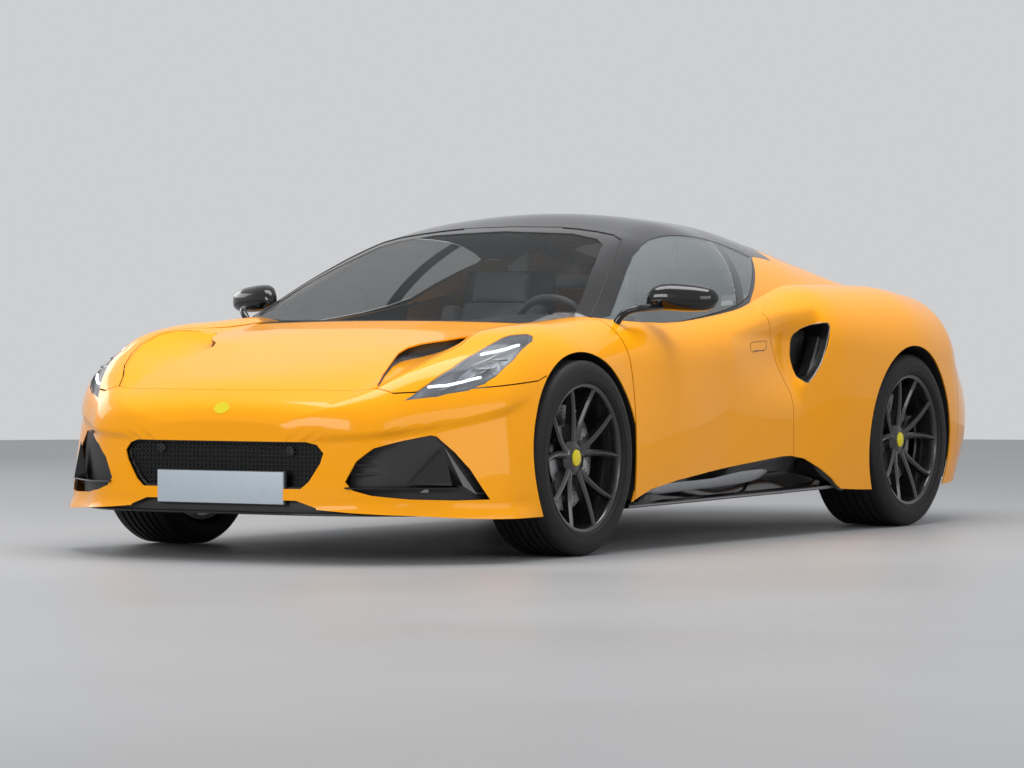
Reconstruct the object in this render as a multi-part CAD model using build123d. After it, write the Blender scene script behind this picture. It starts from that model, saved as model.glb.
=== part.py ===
"""Two-seat, mid-engined coupe car, built from separate body panels on a tub.

Millimetres. +X points forward, +Y to the car's left, +Z up. The origin is on the ground, midway along
the length and on the centre plane. Body panels are cut from three lofted skins, front, middle and rear,
and from one lofted greenhouse, so that neighbouring panels line up.
"""

from build123d import *
import math
import os

os.makedirs("parts", exist_ok=True)

# ---------------------------------------------------------------- driving dimensions
length = 4413.0
body_width = 1895.0
height = 1226.0
wheelbase = 2575.0
front_overhang = 900.0
ground_clearance = 132.0

tyre_front_diameter = 680.0
tyre_front_width = 245.0
tyre_rear_diameter = 686.0
tyre_rear_width = 295.0
front_wheel_inset = 22.0  # tyre sidewall inside the widest point of the body
rear_wheel_inset = 12.0
rim_diameter = 520.0
rim_wall = 9.0
tyre_seat_gap = 0.3
hub_radius = 76.0
hub_bore_radius = 24.0
bearing_gap = 0.3
disc_radius = 185.0
disc_thickness = 30.0
spoke_count = 5

skin = 30.0  # fixed body panels, outer skin to inner edge
door_thickness = 105.0
roof_thickness = 34.0
glass_thickness = 6.0
shut_gap = 8.0  # round the doors
lid_gap = 10.0  # round the hood and the tailgate
front_arch_gap = 32.0  # tyre to arch edge
rear_arch_gap = 34.0
liner_thickness = 5.0
front_liner_radius = 408.0

hood_front_inset = 104.0  # hood's front edge behind the nose, at the centre
hood_rear_x = 1120.0
hood_half_width_front = 505.0
hood_half_width_rear = 590.0
door_front_x = 950.0
door_rear_x = -330.0
tailgate_front_x = -735.0
tailgate_rear_x = -2085.0
tailgate_half_width = 492.0
bumper_rear_x = -1742.0

steer_limit = 32.0
kingpin_inset = 78.0  # kingpin axis inboard of the front wheel's centre plane
hinge_pin_radius = 7.0
lid_pin_radius = 5.0
hinge_gap = 0.3
door_hinge_setback = 100.0  # hinge axis behind the door's front edge
door_hinge_depth = 32.0  # hinge axis inboard of the door's waist
hood_hinge_depth = 16.0  # hinge axes under their skin
tailgate_hinge_depth = 12.0
lid_hinge_setback = 34.0
tow_y, tow_z = -310.0, 290.0  # towing eye's thread, behind the grille
tow_radius, tow_depth = 8.0, 45.0

# ---------------------------------------------------------------- places worked out from them
half_width = body_width / 2
nose_x = length / 2
tail_x = -length / 2
front_axle_x = nose_x - front_overhang
rear_axle_x = front_axle_x - wheelbase
front_wheel_r = tyre_front_diameter / 2
rear_wheel_r = tyre_rear_diameter / 2
front_wheel_y = half_width - front_wheel_inset - tyre_front_width / 2
rear_wheel_y = half_width - rear_wheel_inset - tyre_rear_width / 2
front_arch_r = front_wheel_r + front_arch_gap
rear_arch_r = rear_wheel_r + rear_arch_gap
rear_liner_radius = rear_arch_r + 8.0
kingpin_y = front_wheel_y - kingpin_inset
floor_bottom = ground_clearance
sill_z = ground_clearance + 22.0
far = 5000.0  # reach of cutters past the body

# Half sections of the body skin. Each point is (inset from half_width, height): hood edge, crest, waist,
# mid side and sill. The centre line's height is top.
FRONT_COLUMNS = "x, top, hood_edge, crest, waist, mid, sill"
FRONT_SKIN = [
    (door_front_x, 824, (330, 815), (150, 803), (52, 660), (30, 420), (40, 150)),
    (front_axle_x, 792, (368, 778), (185, 800), (26, 660), (10, 420), (22, 150)),
    (front_axle_x + 270, 738, (400, 745), (200, 770), (44, 600), (14, 400), (12, 150)),
    (nose_x - 440, 692, (420, 690), (215, 702), (72, 560), (34, 370), (15, 150)),
    (nose_x - 290, 652, (445, 638), (270, 636), (168, 510), (134, 350), (105, 150)),
    (nose_x - 160, 610, (470, 584), (345, 560), (290, 460), (275, 320), (250, 150)),
    (nose_x - 66, 560, (520, 540), (430, 510), (388, 430), (380, 300), (375, 150)),
    (nose_x - 16, 516, (620, 500), (560, 478), (540, 420), (535, 300), (545, 150)),
    (nose_x, 480, (720, 470), (680, 456), (660, 410), (655, 300), (670, 150)),
]
MIDDLE_COLUMNS = FRONT_COLUMNS
MIDDLE_SKIN = [
    FRONT_SKIN[0],
    (door_front_x - 350, 806, (330, 798), (125, 797), (46, 660), (34, 420), (52, 150)),
    (door_front_x - 800, 838, (330, 830), (135, 828), (58, 680), (62, 430), (70, 150)),
    (door_rear_x, 904, (335, 897), (165, 892), (64, 710), (64, 450), (72, 150)),
]
REAR_SKIN = [
    MIDDLE_SKIN[-1],
    (door_rear_x - 380, 924, (370, 934), (140, 924), (20, 740), (22, 450), (46, 150)),
    (rear_axle_x, 930, (390, 938), (150, 924), (0, 660), (2, 420), (20, 150)),
    (rear_axle_x - 400, 920, (400, 916), (160, 890), (30, 650), (22, 420), (40, 160)),
    (tail_x + 260, 915, (410, 905), (215, 862), (95, 650), (78, 430), (100, 190)),
    (tail_x + 100, 905, (420, 880), (270, 830), (185, 640), (170, 430), (190, 230)),
    (tail_x, 800, (510, 780), (420, 740), (360, 620), (350, 460), (370, 320)),
]
# Half sections of the greenhouse: roof centre height, then (half width, height) of roof edge, cant
# rail and base.
HOUSE_COLUMNS = "x, top, roof_edge, cant_rail, base"
HOUSE_SKIN = [
    (door_front_x + 158, 818, (360, 808), (560, 796), (640, 760)),
    (door_front_x - 20, 918, (440, 900), (690, 852), (815, 765)),
    (door_front_x - 350, 1058, (470, 1036), (672, 975), (812, 770)),
    (door_front_x - 650, 1160, (470, 1136), (634, 1078), (808, 770)),
    (door_front_x - 980, height, (440, 1190), (592, 1128), (800, 790)),
    (door_front_x - 1250, height - 8, (430, 1180), (595, 1098), (770, 830)),
    (tailgate_front_x, height - 60, (430, 1122), (588, 1040), (720, 860)),
    (tailgate_front_x - 400, height - 138, (440, 1050), (566, 985), (680, 870)),
    (rear_axle_x - 250, height - 232, (470, 970), (560, 940), (640, 860)),
    (tail_x + 300, height - 288, (480, 925), (545, 905), (600, 850)),
    (tail_x + 90, height - 300, (470, 905), (530, 880), (560, 840)),
]
# Lower edge of the painted side, (x, z): rises to a peak behind the door and falls to the rear arch.
ROCKER_LINE = [
    (door_front_x + 130, 165),
    (door_front_x - 80, 176),
    (door_front_x - 545, 212),
    (door_rear_x + 40, 300),
    (door_rear_x - 70, 302),
    (door_rear_x - 330, 222),
    (door_rear_x - 560, 165),
]
# Side window opening, (x, z), clockwise from its lower front corner.
BELT_LINE = [
    (door_front_x - 34, 818),
    (door_front_x - 365, 803),
    (door_front_x - 707, 830),
    (door_front_x - 1030, 871),
    (door_front_x - 1180, 896),
]
WINDOW_TOP = [
    (door_front_x - 1330, 953),
    (door_front_x - 1440, 1040),
    (door_front_x - 1275, 1086),
    (door_front_x - 1095, 1116),
    (door_front_x - 860, 1122),
    (door_front_x - 640, 1088),
    (door_front_x - 485, 1030),
    (door_front_x - 250, 935),
]
window_split = ((door_front_x - 1022, 864), (door_front_x - 1180, 1125))  # rear edge of the door glass


# ---------------------------------------------------------------- shape helpers
def shallow_arc(start, middle, end):
    """An arc through three points. A middle that is in line with the ends is moved off the line a little."""
    run = end - start
    if run.cross(middle - start).length < 0.2 * run.length:
        middle = middle + run.cross(Vector(1, 0, 0)).normalized() * 0.4
    return Edge.make_three_point_arc(start, middle, end)


def closed_wire(points, arcs=()):
    """A closed wire through points. An index in arcs is a point that its neighbours' arc passes through."""
    edges, i, n = [], 0, len(points)
    while i < n:
        if (i + 1) % n in arcs:
            edges.append(shallow_arc(points[i], points[i + 1], points[(i + 2) % n]))
            i += 2
        else:
            edges.append(Edge.make_line(points[i], points[(i + 1) % n]))
            i += 1
    return Wire(edges)


def body_section(row, inset, sill_drop, x_shift=0.0):
    """The body's closed outline across the car at one station, moved inwards by inset."""
    x, top, hood, crest, waist, mid, sill = row
    x += x_shift
    diagonal = 0.75 * inset
    half = [
        (half_width - hood[0] - 0.2 * inset, hood[1] - inset),
        (half_width - crest[0] - diagonal, crest[1] - diagonal),
        (half_width - waist[0] - inset, waist[1] - 0.2 * inset),
        (half_width - mid[0] - inset, mid[1]),
        (half_width - sill[0] - inset, sill[1] - sill_drop),
    ]
    left = [Vector(x, y, z) for y, z in half]
    right = [Vector(x, -y, z) for y, z in reversed(half)]
    centre = Vector(x, 0, top - inset)
    return closed_wire([*left, *right, centre], arcs=(1, 3, 6, 8, 10))


def flat(row):
    """A table row as one list of numbers."""
    return [n for item in row for n in (item if isinstance(item, tuple) else (item,))]


def slope(before, here, after, k):
    """The slope of column k against x at one row, level at a peak or a hollow."""
    left = (here[k] - before[k]) / (here[0] - before[0]) if before else None
    right = (after[k] - here[k]) / (after[0] - here[0]) if after else None
    if left is None or right is None:
        return right if left is None else left
    return 0.0 if left * right <= 0 else 2 * left * right / (left + right)


def stations(rows, longest=170.0):
    """The table's rows, with smoothly interpolated ones between rows that lie far apart."""
    flats = [None, *[flat(row) for row in rows], None]
    result = [rows[0]]
    for i in range(1, len(rows)):
        a, b = flats[i], flats[i + 1]
        span = b[0] - a[0]
        steps = max(1, math.ceil(abs(span) / longest))
        for step in range(1, steps):
            t = step / steps
            values = [a[0] + span * t]
            for k in range(1, len(a)):
                start = slope(flats[i - 1], a, b, k) * span
                end = slope(a, b, flats[i + 2], k) * span
                turn = 3 * (b[k] - a[k]) - 2 * start - end
                bend = 2 * (a[k] - b[k]) + start + end
                values.append(a[k] + start * t + turn * t * t + bend * t**3)
            pairs = list(zip(values[2::2], values[3::2]))
            result.append((values[0], values[1], *pairs))
        result.append(rows[i])
    return result


def body_loft(rows, inset=0.0, end_inset=0.0, nose=0, open_below=True):
    """The skin's solid through all stations. The end at the nose or tail moves in by end_inset."""
    drop = 60.0 if inset and open_below else 0.0
    start, end = rows[0][0], rows[-1][0]
    wires = []
    for row in stations(rows):
        shift = -nose * end_inset * abs((row[0] - start) / (end - start)) ** 4
        wires.append(body_section(row, inset, drop, shift))
    return Solid.make_loft(wires, ruled=True)


def house_section(row, inset):
    x, top, edge, rail, base = row
    left = [
        Vector(x, edge[0] - 0.2 * inset, edge[1] - inset),
        Vector(x, rail[0] - 0.8 * inset, rail[1] - 0.6 * inset),
        Vector(x, base[0] - inset, base[1] - (40.0 if inset else 0.0)),
    ]
    right = [Vector(p.X, -p.Y, p.Z) for p in reversed(left)]
    return closed_wire([*left, *right, Vector(x, 0, top - inset)], arcs=(1, 4, 6))


def house_loft(inset=0.0):
    return Solid.make_loft([house_section(row, inset) for row in stations(HOUSE_SKIN)], ruled=True)


def block(x0, x1, y0, y1, z0, z1):
    """A box between two corners."""
    size = (abs(x1 - x0), abs(y1 - y0), abs(z1 - z0))
    return Pos((x0 + x1) / 2, (y0 + y1) / 2, (z0 + z1) / 2) * Box(*size)


def side_prism(points, y0, y1):
    """A prism across the car, from y0 to y1, on an outline of (x, z)."""
    wire = Wire.make_polygon([Vector(x, y0, z) for x, z in points], close=True)
    return Solid.extrude(Face(wire), Vector(0, y1 - y0, 0))


def plan_prism(points, z0, z1):
    """A vertical prism on an outline of (x, y)."""
    wire = Wire.make_polygon([Vector(x, y, z0) for x, y in points], close=True)
    return Solid.extrude(Face(wire), Vector(0, 0, z1 - z0))


def front_prism(points, x0, x1):
    """A prism along the car on an outline of (y, z)."""
    wire = Wire.make_polygon([Vector(x0, y, z) for y, z in points], close=True)
    return Solid.extrude(Face(wire), Vector(x1 - x0, 0, 0))


def rod(start, end, radius):
    """A round bar between two points."""
    a, b = Vector(*start), Vector(*end)
    plane = Plane(origin=a, z_dir=b - a)
    return Solid.make_cylinder(radius, (b - a).length, plane)


def across(x, y0, y1, z, radius):
    """A cylinder along Y."""
    return rod((x, y0, z), (x, y1, z), radius)


def across_z(x, y, z0, z1, radius):
    """An upright cylinder."""
    return rod((x, y, z0), (x, y, z1), radius)


def arch_top(rows, x, y):
    """The height of a skin's crown at (x, y), on the circle through its centre and hood edges."""
    for a, b in zip(rows, rows[1:]):
        if min(a[0], b[0]) <= x <= max(a[0], b[0]):
            t = (x - a[0]) / (b[0] - a[0])
            top = a[1] + (b[1] - a[1]) * t
            side = [half_width - r[2][0] if r in FRONT_SKIN else r[2][0] for r in (a, b)]
            half, drop = side[0] + (side[1] - side[0]) * t, top - (a[2][1] + (b[2][1] - a[2][1]) * t)
            radius = (half**2 + drop**2) / (2 * drop)
            return top - radius + math.copysign(math.sqrt(radius**2 - y**2), radius)
    raise ValueError("x is outside the skin")


def mirrored(shape):
    return mirror(shape, about=Plane.XZ)


def solids_of(shape):
    return shape.solids() if hasattr(shape, "solids") else [shape]


nodes = {}


def keep(name, shape):
    """Files a finished piece under its node's name."""
    solids = [s for s in solids_of(shape) if s.volume > 5000]
    nodes[name] = solids[0] if len(solids) == 1 else Compound(solids)
    return nodes[name]


# ---------------------------------------------------------------- the skins
front_outer = body_loft(FRONT_SKIN)
front_inner = body_loft(FRONT_SKIN, skin, skin, nose=1)
middle_outer = body_loft(MIDDLE_SKIN)
rear_outer = body_loft(REAR_SKIN)
rear_inner = body_loft(REAR_SKIN, skin, skin, nose=-1)
front_shell = front_outer - front_inner
middle_shell = middle_outer - body_loft(MIDDLE_SKIN, skin)
rear_shell = rear_outer - rear_inner
body_solid = front_outer + middle_outer + rear_outer
house_outer = house_loft()
house_shell = house_outer - house_loft(roof_thickness)
glass_shell = house_outer - house_loft(glass_thickness)

# ---------------------------------------------------------------- outlines that cut the panels
mid_rail_z = 536.0
rocker_prism = side_prism(
    [(door_front_x + 600, 60), (door_front_x + 600, 165), *ROCKER_LINE, (door_rear_x - 900, 165),
     (door_rear_x - 900, 60)], 0, far)
DOOR_REAR_LINE = [
    (door_rear_x + 100, 980),
    (door_rear_x + 104, 892),
    (door_rear_x + 147, 846),
    (door_rear_x + 2, mid_rail_z),
    (door_rear_x - 8, 300),
    (door_rear_x - 8, 40),
]


# The hood's side edge in plan, (x, y), past its outward bulge round the vent.
HOOD_SIDE = [(1400, 612), (1600, 655), (1727, 668), (1816, 645), (1913, 606), (1989, 557), (2045, 532)]


def door_region(gap):
    """The side view of the door's opening, smaller by gap at its front, rear and lower edges."""
    front = door_front_x - gap
    rear = [(x + gap, z) for x, z in DOOR_REAR_LINE]
    return side_prism([(front, 40), (front, 980), *rear], 0, far)


def hood_region(gap):
    """The plan view of the hood's opening, smaller by gap all round."""
    front = nose_x - hood_front_inset - gap
    side = [(hood_rear_x + gap, hood_half_width_rear - gap), *[(x, y - gap) for x, y in HOOD_SIDE]]
    corner = (HOOD_SIDE[-1][0] - gap, hood_half_width_front - gap)
    left = [*side, corner, (front, 0)]
    return plan_prism([*left, *[(x, -y) for x, y in reversed(left[:-1])]], 480, 1300)


def tailgate_region(gap):
    front, rear = tailgate_front_x - gap, tailgate_rear_x + gap
    wide, narrow = tailgate_half_width - gap, tailgate_half_width - 50 - gap
    return plan_prism([(front, wide), (rear, narrow), (rear, -narrow), (front, -wide)], 800, 1400)


def window_region(inset=0.0, drop=0.0):
    """The side window's opening, smaller by inset all round, its belt lower by drop."""
    middle_x = sum(x for x, z in WINDOW_TOP) / len(WINDOW_TOP)
    belt = [(x - (4 * inset if i == 0 else 0), z + inset - drop) for i, (x, z) in enumerate(BELT_LINE)]
    top = []
    for x, z in WINDOW_TOP:
        side = 1 if x < middle_x - 400 else -1 if x > middle_x + 400 else 0
        top.append((x + side * inset, z - inset))
    return side_prism([*belt, *top], 0, far)


def behind_split(shift):
    """All that is behind the door glass's rear edge, moved forward by shift."""
    (x0, z0), (x1, z1) = window_split
    lean = (x1 - x0) / (z1 - z0)
    low, high = x0 + shift + lean * (600 - z0), x0 + shift + lean * (1400 - z0)
    return side_prism([(low, 600), (high, 1400), (tail_x - 200, 1400), (tail_x - 200, 600)], 0, far)


windscreen_region = front_prism([(-684, 815), (684, 815), (525, 1128), (0, 1176), (-525, 1128)], 150, 1300)
front_wheel_hole = across(front_axle_x, 560, far, front_wheel_r, front_arch_r)
rear_wheel_hole = across(rear_axle_x, 560, far, rear_wheel_r, rear_arch_r)
below_front_arch = block(front_axle_x - front_arch_r * 0.84, front_axle_x + front_arch_r, 560, far, 0, 200)
below_rear_arch = block(rear_axle_x - front_arch_r, rear_axle_x + rear_arch_r, 560, far, 0, 200)
front_arch_cut = front_wheel_hole + below_front_arch
rear_arch_cut = rear_wheel_hole + below_rear_arch

BUMPER_TOP = [(front_axle_x + 240, 625), (nose_x - 200, 540), (nose_x + 100, 540)]
bumper_side_region = side_prism([(front_axle_x + 240, 60), *BUMPER_TOP, (nose_x + 100, 60)], -far, far)
bumper_nose_region = block(nose_x - 200, nose_x + 100, -far, far, 500, 1000)

GRILLE_HALF = [(0, 408), (346, 408), (383, 398), (406, 371), (395, 337), (354, 275), (323, 250), (0, 250)]
GRILLE = [*GRILLE_HALF, *[(-y, z) for y, z in reversed(GRILLE_HALF[1:-1])]]
LIP_HALF = [(328, 216), (376, 184), (376, 60)]  # under the nose's painted lip
LIP = [*LIP_HALF, *[(-y, z) for y, z in reversed(LIP_HALF)]]
INTAKE = [(481, 267), (514, 344), (565, 388), (637, 413), (708, 431), (723, 427), (773, 374), (814, 317),
          (866, 215), (783, 213), (664, 217), (562, 230), (504, 247)]
grille_region = front_prism(GRILLE, nose_x - 300, nose_x + 100)
intake_region = front_prism(INTAKE, nose_x - 470, nose_x + 100)
intake_regions = intake_region + mirrored(intake_region)
HEADLAMP = [(1480, 805), (1513, 821), (1662, 837), (1774, 832), (1820, 818), (1874, 785), (1957, 715),
            (2037, 629), (2006, 649), (1954, 677), (1860, 716), (1753, 740), (1649, 757), (1562, 765), (1487, 788)]
headlamp_region = plan_prism(HEADLAMP, 480, 900)
headlamp_regions = headlamp_region + mirrored(headlamp_region)
HOOD_VENT = [(1420, 566), (1541, 493), (1601, 431), (1652, 407), (1716, 410), (1824, 448), (1927, 483),
             (2010, 510), (1989, 530), (1913, 578), (1816, 616), (1727, 636), (1600, 622)]
vent_pocket = 22.0  # depth of the hood's vent troughs
vent_region = plan_prism(HOOD_VENT, 480, 1000)
vent_regions = vent_region + mirrored(vent_region)
vent_regions = vent_regions & (front_outer - body_loft(FRONT_SKIN, vent_pocket))
SCOOP = [(door_rear_x - 68, 778), (door_rear_x - 232, 813), (door_rear_x - 286, 805), (door_rear_x - 254, 736),
         (door_rear_x - 139, 595), (door_rear_x - 85, 577), (door_rear_x - 16, 623), (door_rear_x - 16, 699)]
scoop_region = side_prism(SCOOP, 700, far)
TAIL_LAMP = [(430, 800), (850, 790), (850, 700), (430, 716)]
tail_lamp_region = front_prism(TAIL_LAMP, tail_x - 100, tailgate_rear_x)
tail_lamp_regions = tail_lamp_region + mirrored(tail_lamp_region)
diffuser_top = 400.0
diffuser_region = front_prism([(-640, 60), (-600, diffuser_top), (600, diffuser_top), (640, 60)],
                              tail_x - 100, tail_x + 320)

# ---------------------------------------------------------------- fixed body panels
hood_hole = hood_region(0)
bumper_region = (bumper_side_region + bumper_nose_region) - hood_hole
bumper = (front_shell & bumper_region) - front_arch_cut - mirrored(front_arch_cut)
lip_region = front_prism(LIP, nose_x - 300, nose_x + 100)
plate_recess = block(nose_x - 100, nose_x + 100, -262, 262, 192, 310)
bumper = bumper - grille_region - intake_regions - headlamp_regions - lip_region - plate_recess
keep("front_bumper", bumper)

lip_clear = body_loft(FRONT_SKIN, 5.0) & block(door_front_x, door_front_x + 32, -far, far, 0, 780)
fenders = front_shell - bumper_region - hood_hole - headlamp_regions - front_arch_cut
fenders = fenders - mirrored(front_arch_cut) - lip_clear - rocker_prism - mirrored(rocker_prism)
cowl_cut = block(hood_rear_x - 400, hood_rear_x, -560, 560, 500, 900)
fenders = fenders - cowl_cut
keep("fender_left", fenders & block(0, far, 0, far, -far, far))
keep("fender_right", fenders & block(0, far, -far, 0, -far, far))


left_half = block(-far, far, 0, far, -far, far)
right_half = block(-far, far, -far, 0, -far, far)
tail_region = block(tail_x - 100, bumper_rear_x, -far, far, 0, 690) + block(
    tail_x - 100, tailgate_rear_x, -far, far, 690, 1200)
quarters = rear_shell + (middle_shell - door_region(0) - mirrored(door_region(0)))
quarters = quarters - block(tailgate_rear_x, far, -560, 560, 60, 2000) - rocker_prism
quarters = quarters - mirrored(rocker_prism) - rear_arch_cut - mirrored(rear_arch_cut)
quarters = quarters - house_outer - scoop_region - mirrored(scoop_region)
keep("quarter_left", (quarters - tail_region) & left_half)
keep("quarter_right", (quarters - tail_region) & right_half)
tail = (rear_shell & tail_region) - rear_arch_cut - mirrored(rear_arch_cut)
tail = tail - tail_lamp_regions - diffuser_region - house_outer - tailgate_region(0)
keep("rear_bumper", tail)

# ---------------------------------------------------------------- greenhouse
window_hole = window_region()
window_holes = window_hole + mirrored(window_hole)
roof = house_shell - body_solid - windscreen_region - window_holes - tailgate_region(-5)
belt_clear = side_prism(
    [(door_front_x + 8, 600), (door_front_x + 8, 828), *[(x, z + 9) for x, z in BELT_LINE[1:4]],
     (door_rear_x + 96, 905), (door_rear_x + 96, 600)], 0, far)
roof = roof - belt_clear - mirrored(belt_clear)
keep("roof", roof)
keep("windscreen", (glass_shell & windscreen_region) - body_solid)

quarter_window = (glass_shell & window_hole & behind_split(0)) - body_solid
keep("quarter_windows", quarter_window + mirrored(quarter_window))

# ---------------------------------------------------------------- doors

door_opening = door_region(shut_gap) - rocker_prism
door_slab = middle_outer - body_loft(MIDDLE_SKIN, door_thickness)
hinge_x = door_front_x - door_hinge_setback
hinge_y = half_width - MIDDLE_SKIN[0][4][0] - door_hinge_depth
HINGE_Z = (330.0, 620.0)
thick_part = block(-far, hinge_x - 25, 0, far, -far, far) & door_region(shut_gap + 22)
door = (middle_shell & door_opening) + (door_slab & door_opening & thick_part)
door = door & block(-far, far, 725, far, -far, far)
belt_zone = block(door_rear_x, door_front_x - 82, 0, far, 768, far)
door = door - (house_outer & belt_zone) - (house_outer & block(-far, far, 0, far, 812, far))
for z in HINGE_Z:
    web = block(hinge_x - 12, hinge_x + 12, hinge_y, hinge_y + 70, z - 42, z + 42)
    door = door + across_z(hinge_x, hinge_y, z - 42, z + 42, 17) + (web & body_loft(MIDDLE_SKIN, 10))
    door = door - block(hinge_x - 30, hinge_x + 130, 600, hinge_y + 14, z - 18, z + 18)
    door = door - across_z(hinge_x, hinge_y, z - 60, z + 60, hinge_pin_radius + hinge_gap)
keep("door_left", door)
keep("door_right", mirrored(door))

belt_strip = side_prism(
    [(door_front_x - 90, 770), (door_front_x - 90, 824), *[(x, z + 12) for x, z in BELT_LINE[1:4]],
     (door_front_x - 1030, 800)], 0, far)
glass_hole = window_region(shut_gap) + belt_strip
door_glass = (glass_shell & glass_hole & block(-far, door_front_x - shut_gap, 0, far, 0, far))
door_glass = door_glass - behind_split(shut_gap)
door_glass = door_glass - door
keep("door_glass_left", door_glass)
keep("door_glass_right", mirrored(door_glass))

# ---------------------------------------------------------------- door mirrors
mirror_x = door_front_x - 369
housing = loft(
    [
        Plane(origin=(mirror_x, 880, 896), z_dir=(0, 1, 0)) * Ellipse(52, 34),
        Plane(origin=(mirror_x, 960, 902), z_dir=(0, 1, 0)) * Ellipse(74, 60),
        Plane(origin=(mirror_x - 8, 1046, 900), z_dir=(0, 1, 0)) * Ellipse(52, 42),
    ]
)
stalk = rod((mirror_x + 10, 900, 880), (mirror_x + 30, 840, 770), 11)
mirror_part = (housing + stalk) - middle_outer - house_outer
keep("mirror_left", mirror_part)
keep("mirror_right", mirrored(mirror_part))

# ---------------------------------------------------------------- hood
HOOD_HINGE_Y = (-170.0, 170.0)
hood_hinge_x = hood_rear_x + lid_gap + lid_hinge_setback
hood_hinge_z = arch_top(stations(FRONT_SKIN), hood_hinge_x, HOOD_HINGE_Y[1]) - hood_hinge_depth
hood = (front_shell & hood_region(lid_gap)) - vent_regions - headlamp_regions
for y in HOOD_HINGE_Y:
    hood = hood - across(hood_hinge_x, y - 30, y + 30, hood_hinge_z, lid_pin_radius + hinge_gap)
    hood = hood - block(hood_hinge_x - 60, hood_hinge_x + 14, y - 13, y + 13, 500, hood_hinge_z + 8.5)
keep("hood", hood)

# ---------------------------------------------------------------- tailgate and its window
TAILGATE_HINGE_Y = (-130.0, 130.0)
tailgate_hinge_x = tailgate_front_x - lid_gap - lid_hinge_setback
tailgate_hinge_z = arch_top(stations(HOUSE_SKIN), tailgate_hinge_x, TAILGATE_HINGE_Y[1]) - tailgate_hinge_depth
rear_window_region = plan_prism(
    [(tailgate_front_x - 90, 400), (tail_x + 760, 380), (tail_x + 760, -380), (tailgate_front_x - 90, -400)],
    800, 1400)
tailgate = (house_shell & tailgate_region(lid_gap)) - rear_window_region
for y in TAILGATE_HINGE_Y:
    tailgate = tailgate - across(tailgate_hinge_x, y - 30, y + 30, tailgate_hinge_z, lid_pin_radius + hinge_gap)
    tailgate = tailgate - block(tailgate_hinge_x - 14, tailgate_hinge_x + 60, y - 13, y + 13, 800,
                                tailgate_hinge_z + 8.5)
keep("tailgate", tailgate)
keep("rear_window", glass_shell & rear_window_region)

# ---------------------------------------------------------------- lamps, grilles and lower trim
keep("headlamps", (front_outer - body_loft(FRONT_SKIN, skin)) & headlamp_regions)
keep("tail_lamps", (body_loft(REAR_SKIN, 3, 3, nose=-1) - body_loft(REAR_SKIN, 24, 24, nose=-1)) & tail_lamp_regions)
grille_back = body_loft(FRONT_SKIN, 18.0, 18.0, nose=1) - body_loft(FRONT_SKIN, 28.0, 28.0, nose=1)
tow_path = block(nose_x - 160, nose_x + 50, tow_y - tow_radius - 5, tow_y + tow_radius + 5, 200, 500)
keep("grilles", (grille_back & (grille_region + intake_regions)) - tow_path)
plate_x = nose_x - 8.0
plate = block(plate_x - 4, plate_x, -260, 260, 196, 306)
holders = block(nose_x - 24, plate_x - 4, -200, -160, 230, 270)
holders += block(nose_x - 24, plate_x - 4, 160, 200, 230, 270)
keep("number_plate", (plate + holders) - nodes["grilles"])



def plan_edge(rows, x_end):
    """The body's plan outline at sill height, from x_end towards the nose or tail, one side."""
    return [(row[0], half_width - row[6][0]) for row in stations(rows) if (row[0] - x_end) * rows[-1][0] > 0]


splitter_rear_x = front_axle_x + front_arch_r + 14
splitter_edge = plan_edge(FRONT_SKIN, splitter_rear_x)
splitter_left = [(splitter_rear_x, half_width - 12), *splitter_edge]
splitter_outline = splitter_left + [(x, -y) for x, y in reversed(splitter_left)]
splitter = plan_prism(splitter_outline, ground_clearance + 2, 150)
splitter = splitter - block(0, nose_x - 260, -560, 560, 0, 400)
splitter += grille_back & lip_region & block(0, nose_x, -far, far, 149, 214)
keep("front_splitter", splitter)

skirt_outer = body_loft(MIDDLE_SKIN, 14.0) + body_loft(FRONT_SKIN, 14.0) + body_loft(REAR_SKIN, 14.0)
skirt_core = block(rear_axle_x + rear_arch_r + 14, front_axle_x - front_arch_r - 14, 738, far, ground_clearance,
                   360)
skirt_shape = side_prism(
    [(door_front_x + 20, ground_clearance), *[(x, z - 8) for x, z in ROCKER_LINE[1:-1]],
     (door_rear_x - 560, ground_clearance)], 738, far)
skirt = skirt_outer & skirt_core & skirt_shape
keep("side_skirts", skirt + mirrored(skirt))

diffuser = plan_prism([(tail_x + 320, 590), (tail_x + 40, 560), (tail_x + 40, -560), (tail_x + 320, -590)], 190, 400)
diffuser = diffuser & rear_outer
diffuser = diffuser - side_prism([(tail_x + 300, 100), (tail_x + 300, 190), (tail_x, 330), (tail_x, 100)], -far, far)
for y in (-95, 95):
    pipe = rod((tail_x + 340, y, 330), (tail_x + 20, y, 330), 62)
    diffuser = (diffuser - pipe) + (pipe - rod((tail_x + 330, y, 330), (tail_x, y, 330), 55))
keep("diffuser", diffuser)

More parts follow.
